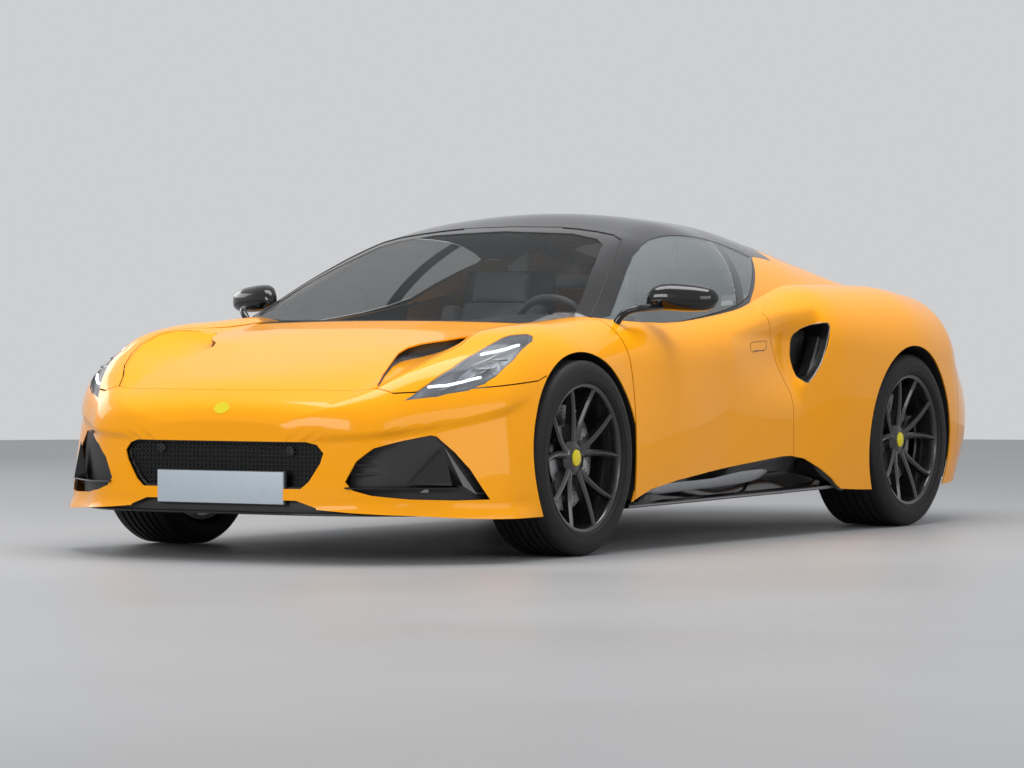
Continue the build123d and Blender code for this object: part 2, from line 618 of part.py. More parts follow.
# ---------------------------------------------------------------- tub: floor, sills, bulkheads and rails
cabin_front_x = door_front_x + 70
footwell_x = front_axle_x - front_liner_radius - 22
cabin_rear_x = door_rear_x - 170
rail_y = 420.0
rail_in, rail_out = rail_y - 35, rail_y + 35
rear_rail_z = (400.0, 460.0)
hoop_in, hoop_out, hoop_top = 470.0, 510.0, 1000.0
tub = block(cabin_rear_x, footwell_x, -700, 700, 150, 175)
tub += block(footwell_x, cabin_front_x, -rail_out, rail_out, 150, 175)
for side in (-1, 1):
    tub += block(cabin_rear_x - 30, footwell_x, side * 640, side * 738, 150, 330)
    tub += block(footwell_x - 20, footwell_x, side * (rail_out - 20), side * 738, 150, 690)
    tub += block(footwell_x, cabin_front_x, side * (rail_out - 20), side * rail_out, 150, 690)
    tub += block(cabin_front_x, nose_x - 190, side * rail_in, side * rail_out, 250, 330)
    tub += block(tail_x + 180, cabin_rear_x, side * rail_in, side * rail_out, *rear_rail_z)
    tub += block(tailgate_hinge_x - 30, tailgate_hinge_x + 30, side * hoop_in, side * hoop_out, 400, hoop_top)
    tub += block(tailgate_hinge_x - 30, tailgate_hinge_x + 30, side * rail_in, side * hoop_out, *rear_rail_z)
    for z in HINGE_Z:
        tub += block(hinge_x - 9, hinge_x + 9, side * 700, side * hinge_y, z - 12, z + 12)
        tub += across_z(hinge_x, side * hinge_y, z - 12, z + 12, 11)
        tub += across_z(hinge_x, side * hinge_y, z - 38, z + 38, hinge_pin_radius)
tub += block(cabin_front_x - 20, cabin_front_x, -rail_out, rail_out, 150, 690)
tub += block(cabin_rear_x - 25, cabin_rear_x + 5, -690, 690, 150, 800)
tub += block(nose_x - 220, nose_x - 170, -700, 700, 240, 340) & front_inner
tub += block(tail_x + 180, tail_x + 230, -900, 900, 400, 500) & rear_inner
for side in (-1, 1):
    tub += block(rear_axle_x + 400, rear_axle_x + 440, side * rail_in, side * 960, *rear_rail_z) & rear_inner
    brace = block(tailgate_hinge_x + 30, tailgate_front_x + 100, side * hoop_in, side * hoop_out, 960, hoop_top)
    upper = block(tailgate_front_x + 60, tailgate_front_x + 100, side * hoop_in, side * 560, 960, 1300)
    tub += brace + (upper & house_loft(roof_thickness))
tub += block(tailgate_hinge_x - 30, tailgate_hinge_x + 30, -hoop_out, hoop_out, 950, hoop_top)
for y in TAILGATE_HINGE_Y:
    tub += block(tailgate_hinge_x - 7.5, tailgate_hinge_x + 7.5, y - 8, y + 8, hoop_top - 20, tailgate_hinge_z)
    tub += across(tailgate_hinge_x, y - 8, y + 8, tailgate_hinge_z, 7.5)
    tub += across(tailgate_hinge_x, y - 28, y + 28, tailgate_hinge_z, lid_pin_radius)
for y in HOOD_HINGE_Y:
    tub += block(cabin_front_x, hood_hinge_x + 20, y - 8, y + 8, 600, 660)
    tub += block(hood_hinge_x - 7.5, hood_hinge_x + 7.5, y - 8, y + 8, 620, hood_hinge_z)
    tub += across(hood_hinge_x, y - 8, y + 8, hood_hinge_z, 7.5)
    tub += across(hood_hinge_x, y - 28, y + 28, hood_hinge_z, lid_pin_radius)
tow_hole = rod((nose_x - tow_depth - 170, tow_y, tow_z), (nose_x + 50, tow_y, tow_z), tow_radius)
keep("tub", tub - tow_hole)

# ---------------------------------------------------------------- scuttle between windscreen and hood
scuttle = front_shell & block(cabin_front_x - 20, hood_rear_x - 4, -560, 560, 500, 1200)
keep("scuttle", scuttle)

# ---------------------------------------------------------------- wheel arch liners
LINERS = [
    # axle_x, axle height, inner radius, y of the outer edge
    (front_axle_x, front_wheel_r, front_liner_radius, 760),
    (rear_axle_x, rear_wheel_r, rear_liner_radius, 860),
]
liners = []
for axle_x, z, radius, y_outer in LINERS:
    liner = across(axle_x, rail_y + 35, y_outer, z, radius + liner_thickness)
    liner = liner - across(axle_x, 0, far, z, radius)
    flat_z = 2 * z + 22
    reach = math.sqrt(radius**2 - (flat_z - z) ** 2)
    liner = liner & block(-far, far, 0, far, z - 70, flat_z)
    liner += block(axle_x - reach, axle_x + reach, rail_y + 35, y_outer, flat_z - liner_thickness, flat_z)
    liners += [liner, mirrored(liner)]
keep("arch_liners", Compound(liners) - nodes["tub"])

# ---------------------------------------------------------------- wheels
def ring(axle_x, y0, y1, z, outer, inner):
    """A short tube along Y."""
    low, high = min(y0, y1), max(y0, y1)
    return across(axle_x, low, high, z, outer) - across(axle_x, low - 1, high + 1, z, inner)


def turned(points, axle_x, z):
    """A ring turned about the axle at (axle_x, z), on a section of (y, radius)."""
    wire = Wire.make_polygon([Vector(axle_x, y, z + r) for y, r in points], close=True)
    return Solid.revolve(Face(wire), 360, Axis((axle_x, 0, z), (0, 1, 0)))


def tyre(axle_x, wheel_y, radius, width):
    """A tyre with its shoulders, on a rim of rim_diameter, about its own axle."""
    seat = rim_diameter / 2 + tyre_seat_gap
    w = width / 2
    section = [(-w + 12, seat), (-w, seat + 24), (-w, radius - 30), (-w + 20, radius - 5), (-w + 42, radius),
               (w - 42, radius), (w - 20, radius - 5), (w, radius - 30), (w, seat + 24), (w - 12, seat)]
    return turned([(wheel_y + y, r) for y, r in section], axle_x, radius)


def rim(axle_x, wheel_y, radius, width, side, dish):
    """Barrel, hub, split spokes and brake disc. side is 1 on the left, dish is the hub's depth."""
    z, outer = radius, rim_diameter / 2
    face = wheel_y + side * (width / 2 - 13)
    back = wheel_y - side * (width / 2 - 13)
    lip = outer + 11
    shape = ring(axle_x, back, face, z, outer, outer - rim_wall)
    hub_face = face - side * dish
    hub_back = hub_face - side * 34
    shape += ring(axle_x, hub_back, hub_face, z, hub_radius, hub_bore_radius)
    for i in range(spoke_count):
        middle = math.radians(90 + 360 / spoke_count * i)
        for lean in (-1, 1):
            start, end = middle + lean * 0.16, middle + lean * 0.29
            a = Vector(axle_x + 52 * math.cos(start), hub_face - side * 14, z + 52 * math.sin(start))
            reach = outer - rim_wall / 2
            b = Vector(axle_x + reach * math.cos(end), face - side * 16, z + reach * math.sin(end))
            across_dir = Vector(-math.sin(end), 0, math.cos(end))
            plane = Plane(origin=a, x_dir=across_dir, z_dir=b - a)
            far_plane = Plane(origin=b, x_dir=across_dir, z_dir=b - a)
            shape += loft([plane * Rectangle(30, 28), far_plane * Rectangle(24, 24)])
    disc_y = hub_back - side * 10
    shape += ring(axle_x, disc_y - side * disc_thickness, disc_y, z, disc_radius, 60)
    shape += ring(axle_x, disc_y - side * disc_thickness, hub_face - side * 5, z, 70, 60)
    trim = across(axle_x, -far, far, z, outer)
    return shape & trim


def caliper(axle_x, disc_mid_y, z, ahead):
    """A brake caliper that straddles the disc, ahead of the axle or behind it."""
    body = ring(axle_x, disc_mid_y - 48, disc_mid_y + 32, z, disc_radius + 26, disc_radius - 70)
    slot = ring(axle_x, disc_mid_y - disc_thickness / 2 - 5, disc_mid_y + disc_thickness / 2 + 5, z,
                disc_radius + 6, 40)
    x0, x1 = (axle_x + 90, axle_x + 260) if ahead else (axle_x - 260, axle_x - 90)
    return (body - slot) & block(x0, x1, -far, far, z - 90, z + 90)


front_dish, rear_dish = 36.0, 44.0
AXLES = [
    # name, axle_x, wheel_y, radius, tyre width, dish
    ("front", front_axle_x, front_wheel_y, front_wheel_r, tyre_front_width, front_dish),
    ("rear", rear_axle_x, rear_wheel_y, rear_wheel_r, tyre_rear_width, rear_dish),
]
for axle, axle_x, wheel_y, radius, width, dish in AXLES:
    wheel = rim(axle_x, wheel_y, radius, width, 1, dish)
    rubber = tyre(axle_x, wheel_y, radius, width)
    keep(f"rim_{axle}_left", wheel)
    keep(f"rim_{axle}_right", mirrored(wheel))
    keep(f"tyre_{axle}_left", rubber)
    keep(f"tyre_{axle}_right", mirrored(rubber))

# ---------------------------------------------------------------- knuckles and suspension
hub_end_front = front_wheel_y + tyre_front_width / 2 - 13 - front_dish
hub_end_rear = rear_wheel_y + tyre_rear_width / 2 - 13 - rear_dish
axle_radius = hub_bore_radius - bearing_gap
front_disc_y = hub_end_front - 44 - disc_thickness / 2
rear_disc_y = hub_end_rear - 44 - disc_thickness / 2
knuckle = block(front_axle_x - 30, front_axle_x + 30, kingpin_y - 24, kingpin_y + 14, front_wheel_r - 135,
                front_wheel_r + 135)
knuckle += across(front_axle_x, kingpin_y, hub_end_front - 8, front_wheel_r, axle_radius)
knuckle += caliper(front_axle_x, front_disc_y, front_wheel_r, True)
knuckle += block(front_axle_x, front_axle_x + 130, kingpin_y - 24, front_disc_y - 22, front_wheel_r - 40,
                 front_wheel_r + 40)
pin = 12.0
for z0, z1 in ((-136, -104), (104, 136)):
    knuckle = knuckle - across_z(front_axle_x, kingpin_y - 5, front_wheel_r + z0, front_wheel_r + z1, pin + 0.3)
keep("knuckle_left", knuckle)
keep("knuckle_right", mirrored(knuckle))

arms = None
for z, z_pin in ((-148, -106), (148, 106)):
    arm = block(front_axle_x - 26, front_axle_x + 26, rail_y - 20, kingpin_y + 10, front_wheel_r + z - 8,
                front_wheel_r + z + 8)
    arm += across_z(front_axle_x, kingpin_y - 5, front_wheel_r + min(z, z_pin), front_wheel_r + max(z, z_pin), pin)
    arms = arm if arms is None else arms + arm
arms += block(front_axle_x - 40, front_axle_x + 40, rail_y - 34, rail_y + 14, front_wheel_r - 160,
              front_wheel_r + 160)
keep("front_suspension", (arms + mirrored(arms)) - nodes["tub"])

upright = block(rear_axle_x - 30, rear_axle_x + 30, rear_disc_y - 80, rear_disc_y - 40, rear_wheel_r - 130,
                rear_wheel_r + 130)
upright += across(rear_axle_x, rear_disc_y - 60, hub_end_rear - 8, rear_wheel_r, axle_radius)
upright += caliper(rear_axle_x, rear_disc_y, rear_wheel_r, False)
upright += block(rear_axle_x - 130, rear_axle_x, rear_disc_y - 80, rear_disc_y - 22, rear_wheel_r - 40,
                 rear_wheel_r + 40)
for z in (-110, 110):
    upright += block(rear_axle_x - 26, rear_axle_x + 26, rail_y, rear_disc_y - 50, rear_wheel_r + z - 10,
                     rear_wheel_r + z + 10)
upright += block(rear_axle_x - 40, rear_axle_x + 40, rail_y - 34, rail_y + 34, rear_wheel_r - 140,
                 rear_wheel_r + 140)
keep("rear_suspension", (upright + mirrored(upright)) - nodes["tub"])

# ---------------------------------------------------------------- engine and cabin
engine = block(rear_axle_x - 250, cabin_rear_x - 60, -300, 300, 200, 700)
engine += block(rear_axle_x - 400, rear_axle_x - 250, -200, 200, 230, 520)
engine += block(rear_axle_x + 100, rear_axle_x + 160, -rail_in, rail_in, 405, 455)
keep("engine", engine)

dash_front_x = footwell_x - 20
dashboard = side_prism(
    [(dash_front_x, 600), (dash_front_x, 790), (door_front_x - 140, 808), (door_front_x - 280, 790),
     (door_front_x - 310, 730), (door_front_x - 220, 620)], -690, 690)
steer_y = 370.0
column_a = Vector(door_front_x - 330, steer_y, 720)
column_b = Vector(door_front_x - 180, steer_y, 680)
dashboard = dashboard + rod(tuple(column_a), tuple(column_b), 18)
keep("dashboard", dashboard - nodes["tub"])

wheel_axis = (column_a - column_b).normalized()
wheel_plane = Plane(origin=column_a + wheel_axis * 40, z_dir=wheel_axis)
steering = Torus(175, 15)
steering = steering + Box(330, 30, 14) + Pos(0, -80, 0) * Box(30, 160, 14) + Cylinder(45, 40)
steering = wheel_plane * steering
bore = rod(tuple(column_a - wheel_axis * 20), tuple(column_a + wheel_axis * 22), 12.3)
steering = steering - bore
spindle = rod(tuple(column_a), tuple(column_a + wheel_axis * 36), 12)
keep("steering_wheel", steering - rod(tuple(column_a), tuple(column_a + wheel_axis * 36.5), 12.3))
keep("dashboard", nodes["dashboard"] + spindle)

console = block(cabin_rear_x, dash_front_x, -115, 115, 175, 420)
console += block(door_front_x - 260, dash_front_x, -100, 100, 420, 640)
keep("console", console - nodes["dashboard"] - nodes["tub"])

seat_y = 370.0
seat_front_x, seat_back_x = door_front_x - 560, cabin_rear_x + 40
seat = None
for side in (-1, 1):
    y0 = side * seat_y
    cushion = side_prism([(seat_front_x, 175), (seat_front_x, 330), (seat_front_x - 60, 370),
                          (seat_back_x + 180, 310), (seat_back_x + 180, 175)], y0 - 240, y0 + 240)
    back = side_prism([(seat_back_x + 200, 175), (seat_back_x + 200, 330), (seat_back_x + 60, 1010),
                       (seat_back_x, 1010), (seat_back_x + 20, 175)], y0 - 220, y0 + 220)
    piece = cushion + back
    for edge in (-1, 1):
        piece += side_prism([(seat_front_x - 80, 300), (seat_front_x - 120, 410), (seat_back_x + 300, 420),
                             (seat_back_x + 210, 700), (seat_back_x + 100, 700), (seat_back_x + 150, 300)],
                            y0 + edge * 240, y0 + edge * 180)
    seat = piece if seat is None else Compound([seat, piece])
keep("seats", seat)

for name, shape in nodes.items():
    export_step(shape, f"parts/{name}.step")
    print(name, len(solids_of(shape)), "solids")
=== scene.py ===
"""Two-seat, mid-engined coupe: paint, glass, wheels and cabin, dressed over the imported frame."""

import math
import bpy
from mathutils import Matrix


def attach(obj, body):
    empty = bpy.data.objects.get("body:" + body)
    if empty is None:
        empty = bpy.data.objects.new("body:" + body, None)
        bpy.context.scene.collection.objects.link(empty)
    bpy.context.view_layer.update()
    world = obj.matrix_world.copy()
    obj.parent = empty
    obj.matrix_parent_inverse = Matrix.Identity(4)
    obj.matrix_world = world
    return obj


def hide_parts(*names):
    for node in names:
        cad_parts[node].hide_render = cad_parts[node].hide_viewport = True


bl_info = {
    "name": "Coupe car",
    "version": (1, 0, 0),
    "blender": (4, 5, 0),
    "location": "3D View > Sidebar > Coupe",
    "description": "Builds the coupe's painted panels, glass, wheels and cabin over its frame",
    "category": "Add Mesh",
}

import bmesh
import bpy
import numpy as np
from mathutils import Matrix, Vector
from mathutils.bvhtree import BVHTree

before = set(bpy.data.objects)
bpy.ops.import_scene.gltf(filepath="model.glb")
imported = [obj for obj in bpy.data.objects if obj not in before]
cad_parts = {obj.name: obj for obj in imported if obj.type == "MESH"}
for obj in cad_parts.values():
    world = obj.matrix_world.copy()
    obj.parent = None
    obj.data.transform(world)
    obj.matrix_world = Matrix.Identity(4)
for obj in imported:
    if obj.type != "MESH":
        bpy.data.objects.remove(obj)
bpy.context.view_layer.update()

# ---------------------------------------------------------------- sizes, in millimetres
LENGTH = 4413.0
BODY_WIDTH = 1895.0
HALF_WIDTH = BODY_WIDTH / 2
HEIGHT = 1226.0
WHEELBASE = 2575.0
FRONT_OVERHANG = 900.0
NOSE_X = LENGTH / 2
TAIL_X = -LENGTH / 2
FRONT_AXLE_X = NOSE_X - FRONT_OVERHANG
REAR_AXLE_X = FRONT_AXLE_X - WHEELBASE
DOOR_FRONT_X = 950.0
DOOR_REAR_X = -330.0
HOOD_REAR_X = 1120.0
TAILGATE_FRONT_X = -735.0
TAILGATE_REAR_X = -2085.0
FRONT_ARCH_R = 372.0
REAR_ARCH_R = 377.0
FRONT_ARCH_Z = 335.0
REAR_ARCH_Z = 340.0
SIDES = ((1, "left"), (-1, "right"))
# Places past every side of the body, for the ends of cutters.
FAR = 5000.0
AHEAD = 2400.0
BEHIND = -2400.0
ABOVE = 1300.0
BELOW = 40.0

# Half sections of the body: x, height on the centre line, then (inset from HALF_WIDTH, height) of the hood's
# edge, crest, waist, mid side and sill.
BODY_SKIN = [
    (NOSE_X, 480, (720, 470), (680, 456), (660, 410), (655, 300), (670, 150)),
    (NOSE_X - 16, 516, (620, 500), (560, 478), (540, 420), (535, 300), (545, 150)),
    (NOSE_X - 66, 560, (520, 540), (430, 510), (388, 430), (380, 300), (375, 150)),
    (NOSE_X - 160, 610, (470, 584), (345, 560), (290, 460), (275, 320), (250, 150)),
    (NOSE_X - 290, 652, (445, 638), (270, 636), (168, 510), (134, 350), (105, 150)),
    (NOSE_X - 440, 692, (420, 690), (215, 702), (72, 560), (34, 370), (15, 150)),
    (FRONT_AXLE_X + 270, 738, (400, 745), (200, 770), (44, 600), (14, 400), (12, 150)),
    (FRONT_AXLE_X, 792, (368, 778), (185, 800), (26, 660), (10, 420), (22, 150)),
    (DOOR_FRONT_X, 824, (330, 815), (150, 803), (52, 660), (30, 420), (40, 150)),
    (DOOR_FRONT_X - 350, 806, (330, 798), (125, 797), (46, 660), (34, 420), (52, 150)),
    (DOOR_FRONT_X - 800, 838, (330, 830), (135, 828), (58, 680), (62, 430), (70, 150)),
    (DOOR_REAR_X, 904, (335, 897), (165, 892), (64, 710), (64, 450), (72, 150)),
    (DOOR_REAR_X - 380, 924, (370, 934), (140, 924), (20, 740), (22, 450), (46, 150)),
    (REAR_AXLE_X, 930, (390, 938), (150, 924), (0, 660), (2, 420), (20, 150)),
    (REAR_AXLE_X - 400, 920, (400, 916), (165, 888), (34, 650), (24, 420), (44, 160)),
    (TAIL_X + 260, 912, (430, 900), (298, 852), (150, 650), (98, 430), (150, 190)),
    (TAIL_X + 100, 900, (465, 876), (396, 820), (262, 640), (200, 430), (250, 230)),
    (TAIL_X, 800, (560, 775), (500, 735), (425, 620), (400, 460), (415, 320)),
]
# Half sections of the greenhouse: x, centre height, then (half width, height) of roof edge, cant rail, base.
HOUSE_SKIN = [
    (DOOR_FRONT_X + 158, 818, (360, 808), (560, 796), (640, 760)),
    (DOOR_FRONT_X - 20, 918, (440, 900), (690, 852), (815, 765)),
    (DOOR_FRONT_X - 350, 1058, (470, 1036), (672, 975), (812, 770)),
    (DOOR_FRONT_X - 650, 1160, (470, 1136), (634, 1078), (808, 770)),
    (DOOR_FRONT_X - 980, HEIGHT, (440, 1190), (592, 1128), (800, 790)),
    (DOOR_FRONT_X - 1250, HEIGHT - 8, (430, 1180), (595, 1098), (770, 830)),
    (TAILGATE_FRONT_X, HEIGHT - 60, (430, 1122), (588, 1040), (720, 860)),
    (TAILGATE_FRONT_X - 400, HEIGHT - 138, (440, 1050), (566, 985), (680, 870)),
    (REAR_AXLE_X - 250, HEIGHT - 232, (470, 970), (560, 940), (640, 860)),
    (TAIL_X + 300, HEIGHT - 288, (480, 925), (545, 905), (600, 850)),
    (TAIL_X + 90, HEIGHT - 300, (450, 898), (495, 870), (520, 828)),
]


# ---------------------------------------------------------------- curves through the tables
def flat(row):
    """A table row as one list of numbers."""
    return [n for item in row for n in (item if isinstance(item, tuple) else (item,))]


def smooth_rows(rows, stations):
    """The table's columns at the given stations, through the rows without overshoot."""
    table = np.array(sorted(flat(row) for row in rows))
    xs, ys = table[:, 0], table[:, 1:]
    step = np.diff(xs)[:, None]
    chord = np.diff(ys, axis=0) / step
    slope = np.zeros_like(ys)
    left, right = chord[:-1], chord[1:]
    same = left * right > 0
    weight_l = 2 * step[1:] + step[:-1]
    weight_r = step[1:] + 2 * step[:-1]
    with np.errstate(divide="ignore", invalid="ignore"):
        mean = (weight_l + weight_r) / (weight_l / left + weight_r / right)
    slope[1:-1] = np.where(same, mean, 0.0)
    slope[0], slope[-1] = chord[0], chord[-1]
    at = np.clip(stations, xs[0], xs[-1])
    i = np.clip(np.searchsorted(xs, at) - 1, 0, len(xs) - 2)
    h = (xs[i + 1] - xs[i])[:, None]
    t = ((at - xs[i])[:, None]) / h
    a, b, m, n = ys[i], ys[i + 1], slope[i] * h, slope[i + 1] * h
    return a + m * t + (3 * (b - a) - 2 * m - n) * t**2 + (2 * (a - b) + m + n) * t**3


def arc(a, b, c, count):
    """Points from a to c on the circle through a, b and c, in the plane."""
    (ax, ay), (bx, by), (cx, cy) = a, b, c
    d = 2 * (ax * (by - cy) + bx * (cy - ay) + cx * (ay - by))
    if abs(d) < 1e-6 * (abs(ax - cx) + abs(ay - cy)) ** 2 + 1e-9:
        t = np.linspace(0, 1, count)[:, None]
        return np.array(a) * (1 - t) + np.array(c) * t
    a2, b2, c2 = ax**2 + ay**2, bx**2 + by**2, cx**2 + cy**2
    ox = (a2 * (by - cy) + b2 * (cy - ay) + c2 * (ay - by)) / d
    oy = (a2 * (cx - bx) + b2 * (ax - cx) + c2 * (bx - ax)) / d
    angles = np.unwrap([math.atan2(p[1] - oy, p[0] - ox) for p in (a, b, c)])
    sweep = np.linspace(angles[0], angles[2], count)
    r = math.hypot(ax - ox, ay - oy)
    return np.stack([ox + r * np.cos(sweep), oy + r * np.sin(sweep)], axis=1)


def evened(points, count, rounds):
    """The polyline with count evenly spaced points, its corners softened rounds times."""
    length = np.concatenate([[0], np.cumsum(np.linalg.norm(np.diff(points, axis=0), axis=1))])
    at = np.linspace(0, length[-1], count)
    even = np.stack([np.interp(at, length, points[:, k]) for k in (0, 1)], axis=1)
    for _ in range(rounds):
        before = np.vstack([even[1] * [-1, 1], even[:-1]])
        after = np.vstack([even[1:], even[-1]])
        softer = (before + 2 * even + after) / 4
        softer[-1] = even[-1]
        even = softer
    return even


def body_half(columns, count, rounds):
    """The body's half section as (y, z) points from the centre line to the sill."""
    top = columns[0]
    hood, crest, waist, mid, sill = [(HALF_WIDTH - columns[k], columns[k + 1]) for k in range(1, 11, 2)]
    pieces = [
        arc((-hood[0], hood[1]), (0, top), hood, 41)[20:],
        arc(hood, crest, waist, 40)[1:],
        arc(waist, mid, sill, 30)[1:],
    ]
    return evened(np.vstack(pieces), count, rounds)


def house_half(columns, count, rounds):
    """The greenhouse's half section as (y, z) points from the centre line to its base."""
    top = columns[0]
    edge, rail, base = [(columns[k], columns[k + 1]) for k in range(1, 7, 2)]
    pieces = [arc((-edge[0], edge[1]), (0, top), edge, 41)[20:], arc(edge, rail, base, 40)[1:]]
    return evened(np.vstack(pieces), count, rounds)


def skin_grid(rows, half, stations, count, rounds):
    """The skin's points, stations by points round the section, right sill to left sill, in mm."""
    grid = []
    for x, columns in zip(stations, smooth_rows(rows, stations)):
        left = half(columns, count, rounds)
        right = left[:0:-1] * [-1, 1]
        section = np.vstack([right, left])
        grid.append(np.column_stack([np.full(len(section), x), section]))
    return np.array(grid)


# ---------------------------------------------------------------- mesh tools
def new_object(name, mesh):
    piece = bpy.data.objects.new(name, mesh)
    bpy.context.scene.collection.objects.link(piece)
    return piece


def mesh_from(name, points, faces, scale=0.001):
    """An object from points in millimetres and faces, with its normals made to point outwards."""
    mesh = bpy.data.meshes.new(name)
    mesh.from_pydata([tuple(float(c) * scale for c in p) for p in points], [], faces)
    shape = bmesh.new()
    shape.from_mesh(mesh)
    bmesh.ops.remove_doubles(shape, verts=shape.verts, dist=1e-6)
    bmesh.ops.recalc_face_normals(shape, faces=shape.faces)
    shape.to_mesh(mesh)
    shape.free()
    return new_object(name, mesh)


def grid_faces(rows, columns, closed=False):
    """Quads of a grid of points, the columns joined in a ring if closed."""
    faces = []
    for i in range(rows - 1):
        for j in range(columns if closed else columns - 1):
            k = (j + 1) % columns
            faces.append((i * columns + j, i * columns + k, (i + 1) * columns + k, (i + 1) * columns + j))
    return faces


def capped(rows, columns):
    """Faces of a tube of points, each row a ring, with both ends closed."""
    ends = [tuple(range(columns)), tuple(range((rows - 1) * columns, rows * columns))]
    return grid_faces(rows, columns, closed=True) + ends


def sheet_faces(rows, columns):
    """Faces of a closed sheet: its front, its back, whose points follow the front's, and its rim."""
    count = rows * columns
    quads = grid_faces(rows, columns)
    rim = [*range(columns), *[i * columns + columns - 1 for i in range(1, rows)]]
    rim += [(rows - 1) * columns + k for k in range(columns - 2, -1, -1)]
    rim += [i * columns for i in range(rows - 2, 0, -1)]
    back = [tuple(c + count for c in reversed(f)) for f in quads]
    return quads + back + [(b, a, a + count, b + count) for a, b in zip(rim, rim[1:] + rim[:1])]


def around(count):
    """Even angles round a full turn."""
    return np.linspace(0, math.tau, count + 1)[:-1]


def evenly(line, count):
    """A table's rows drawn out to count rows, straight between its own."""
    at, own = np.linspace(0, 1, count), np.linspace(0, 1, len(line))
    return np.array([np.interp(at, own, column) for column in zip(*line)]).T


def prism(points, axis, low, high):
    """A closed prism on an outline in the plane across axis (0, 1 or 2), in millimetres."""
    others = [k for k in range(3) if k != axis]
    count = len(points)
    verts = []
    for level in (low, high):
        for p in points:
            v = [0.0, 0.0, 0.0]
            v[others[0]], v[others[1]], v[axis] = p[0], p[1], level
            verts.append(v)
    faces = [tuple(range(count)), tuple(range(2 * count - 1, count - 1, -1))]
    faces += [(i, (i + 1) % count, count + (i + 1) % count, count + i) for i in range(count)]
    return mesh_from("cutter", verts, faces)


def side_prism(points, y0=0.0, y1=FAR):
    return prism(points, 1, y0, y1)


def plan_prism(points, z0, z1):
    return prism(points, 2, z0, z1)


def front_prism(points, x0, x1):
    return prism(points, 0, x0, x1)


def box_prism(x0, x1, y0, y1, z0, z1):
    return plan_prism([(x0, y0), (x1, y0), (x1, y1), (x0, y1)], z0, z1)


def disc_prism(x, z, radius, y0, y1, count=96):
    ring = [(x + radius * math.cos(a), z + radius * math.sin(a)) for a in around(count)]
    return side_prism(ring, y0, y1)


def eased(points, rounds=2, keep=0.25):
    """An outline with its corners cut round."""
    for _ in range(rounds):
        cut = []
        for a, b in zip(points, points[1:] + points[:1]):
            cut.append((a[0] + (b[0] - a[0]) * keep, a[1] + (b[1] - a[1]) * keep))
            cut.append((b[0] + (a[0] - b[0]) * keep, b[1] + (a[1] - b[1]) * keep))
        points = cut
    return points


def mirrored_y(points):
    """The mirror image of a plan outline."""
    return [(x, -y) for x, y in points]


def mirrored_front(points):
    """The mirror image of a front outline."""
    return [(-y, z) for y, z in points]


def apply_modifiers(piece):
    """Replaces a piece's mesh by what its modifiers make of it."""
    graph = bpy.context.evaluated_depsgraph_get()
    mesh = bpy.data.meshes.new_from_object(piece.evaluated_get(graph))
    old = piece.data
    piece.modifiers.clear()
    piece.data = mesh
    bpy.data.meshes.remove(old)
    return piece


def volume(mesh):
    shape = bmesh.new()
    shape.from_mesh(mesh)
    size = shape.calc_volume(signed=True)
    shape.free()
    return size


def boolean(piece, cutters, operation):
    """Cuts a piece by solids, then removes them. operation is DIFFERENCE or INTERSECT."""
    for cutter in cutters:
        before = volume(piece.data)
        for solver, careful in (("EXACT", False), ("EXACT", True), ("FAST", False)):
            modifier = piece.modifiers.new("cut", "BOOLEAN")
            modifier.operation = operation
            modifier.solver = solver
            modifier.use_self = careful
            modifier.object = cutter
            graph = bpy.context.evaluated_depsgraph_get()
            mesh = bpy.data.meshes.new_from_object(piece.evaluated_get(graph))
            piece.modifiers.clear()
            after = volume(mesh)
            if 0 < after <= before * 1.001:
                break
            bpy.data.meshes.remove(mesh)
        else:
            raise ValueError(f"{piece.name}: a cut left {after:.4f} of {before:.4f} cubic metres")
        old = piece.data
        piece.data = mesh
        bpy.data.meshes.remove(old)
        discard(cutter)
    return piece


def discard(piece):
    mesh = piece.data
    bpy.data.objects.remove(piece)
    bpy.data.meshes.remove(mesh)


def copy_of(piece, name):
    return new_object(name, piece.data.copy())


def joined(name, parts):
    """One object from several, their materials kept."""
    materials = []
    shape = bmesh.new()
    for part in parts:
        offset = len(shape.faces)
        materials += [m for m in part.data.materials if m not in materials]
        places = [materials.index(m) for m in part.data.materials]
        shape.from_mesh(part.data)
        shape.faces.ensure_lookup_table()
        for face in shape.faces[offset:]:
            face.material_index = places[face.material_index] if places else 0
    mesh = bpy.data.meshes.new(name)
    shape.to_mesh(mesh)
    shape.free()
    for m in materials:
        mesh.materials.append(m)
    for part in parts:
        discard(part)
    return new_object(name, mesh)


def flipped(piece, name):
    """The piece's mirror image on the car's other side."""
    mesh = piece.data.copy()
    mesh.transform(Matrix.Scale(-1, 4, (0, 1, 0)))
    mesh.flip_normals()
    return new_object(name, mesh)


def smooth(piece, angle=35.0):
    """Smooth shading, with edges sharper than angle left sharp."""
    shape = bmesh.new()
    shape.from_mesh(piece.data)
    limit = math.radians(angle)
    for face in shape.faces:
        face.smooth = True
    for edge in shape.edges:
        edge.smooth = len(edge.link_faces) == 2 and edge.calc_face_angle(4.0) < limit
    shape.to_mesh(piece.data)
    shape.free()
    return piece


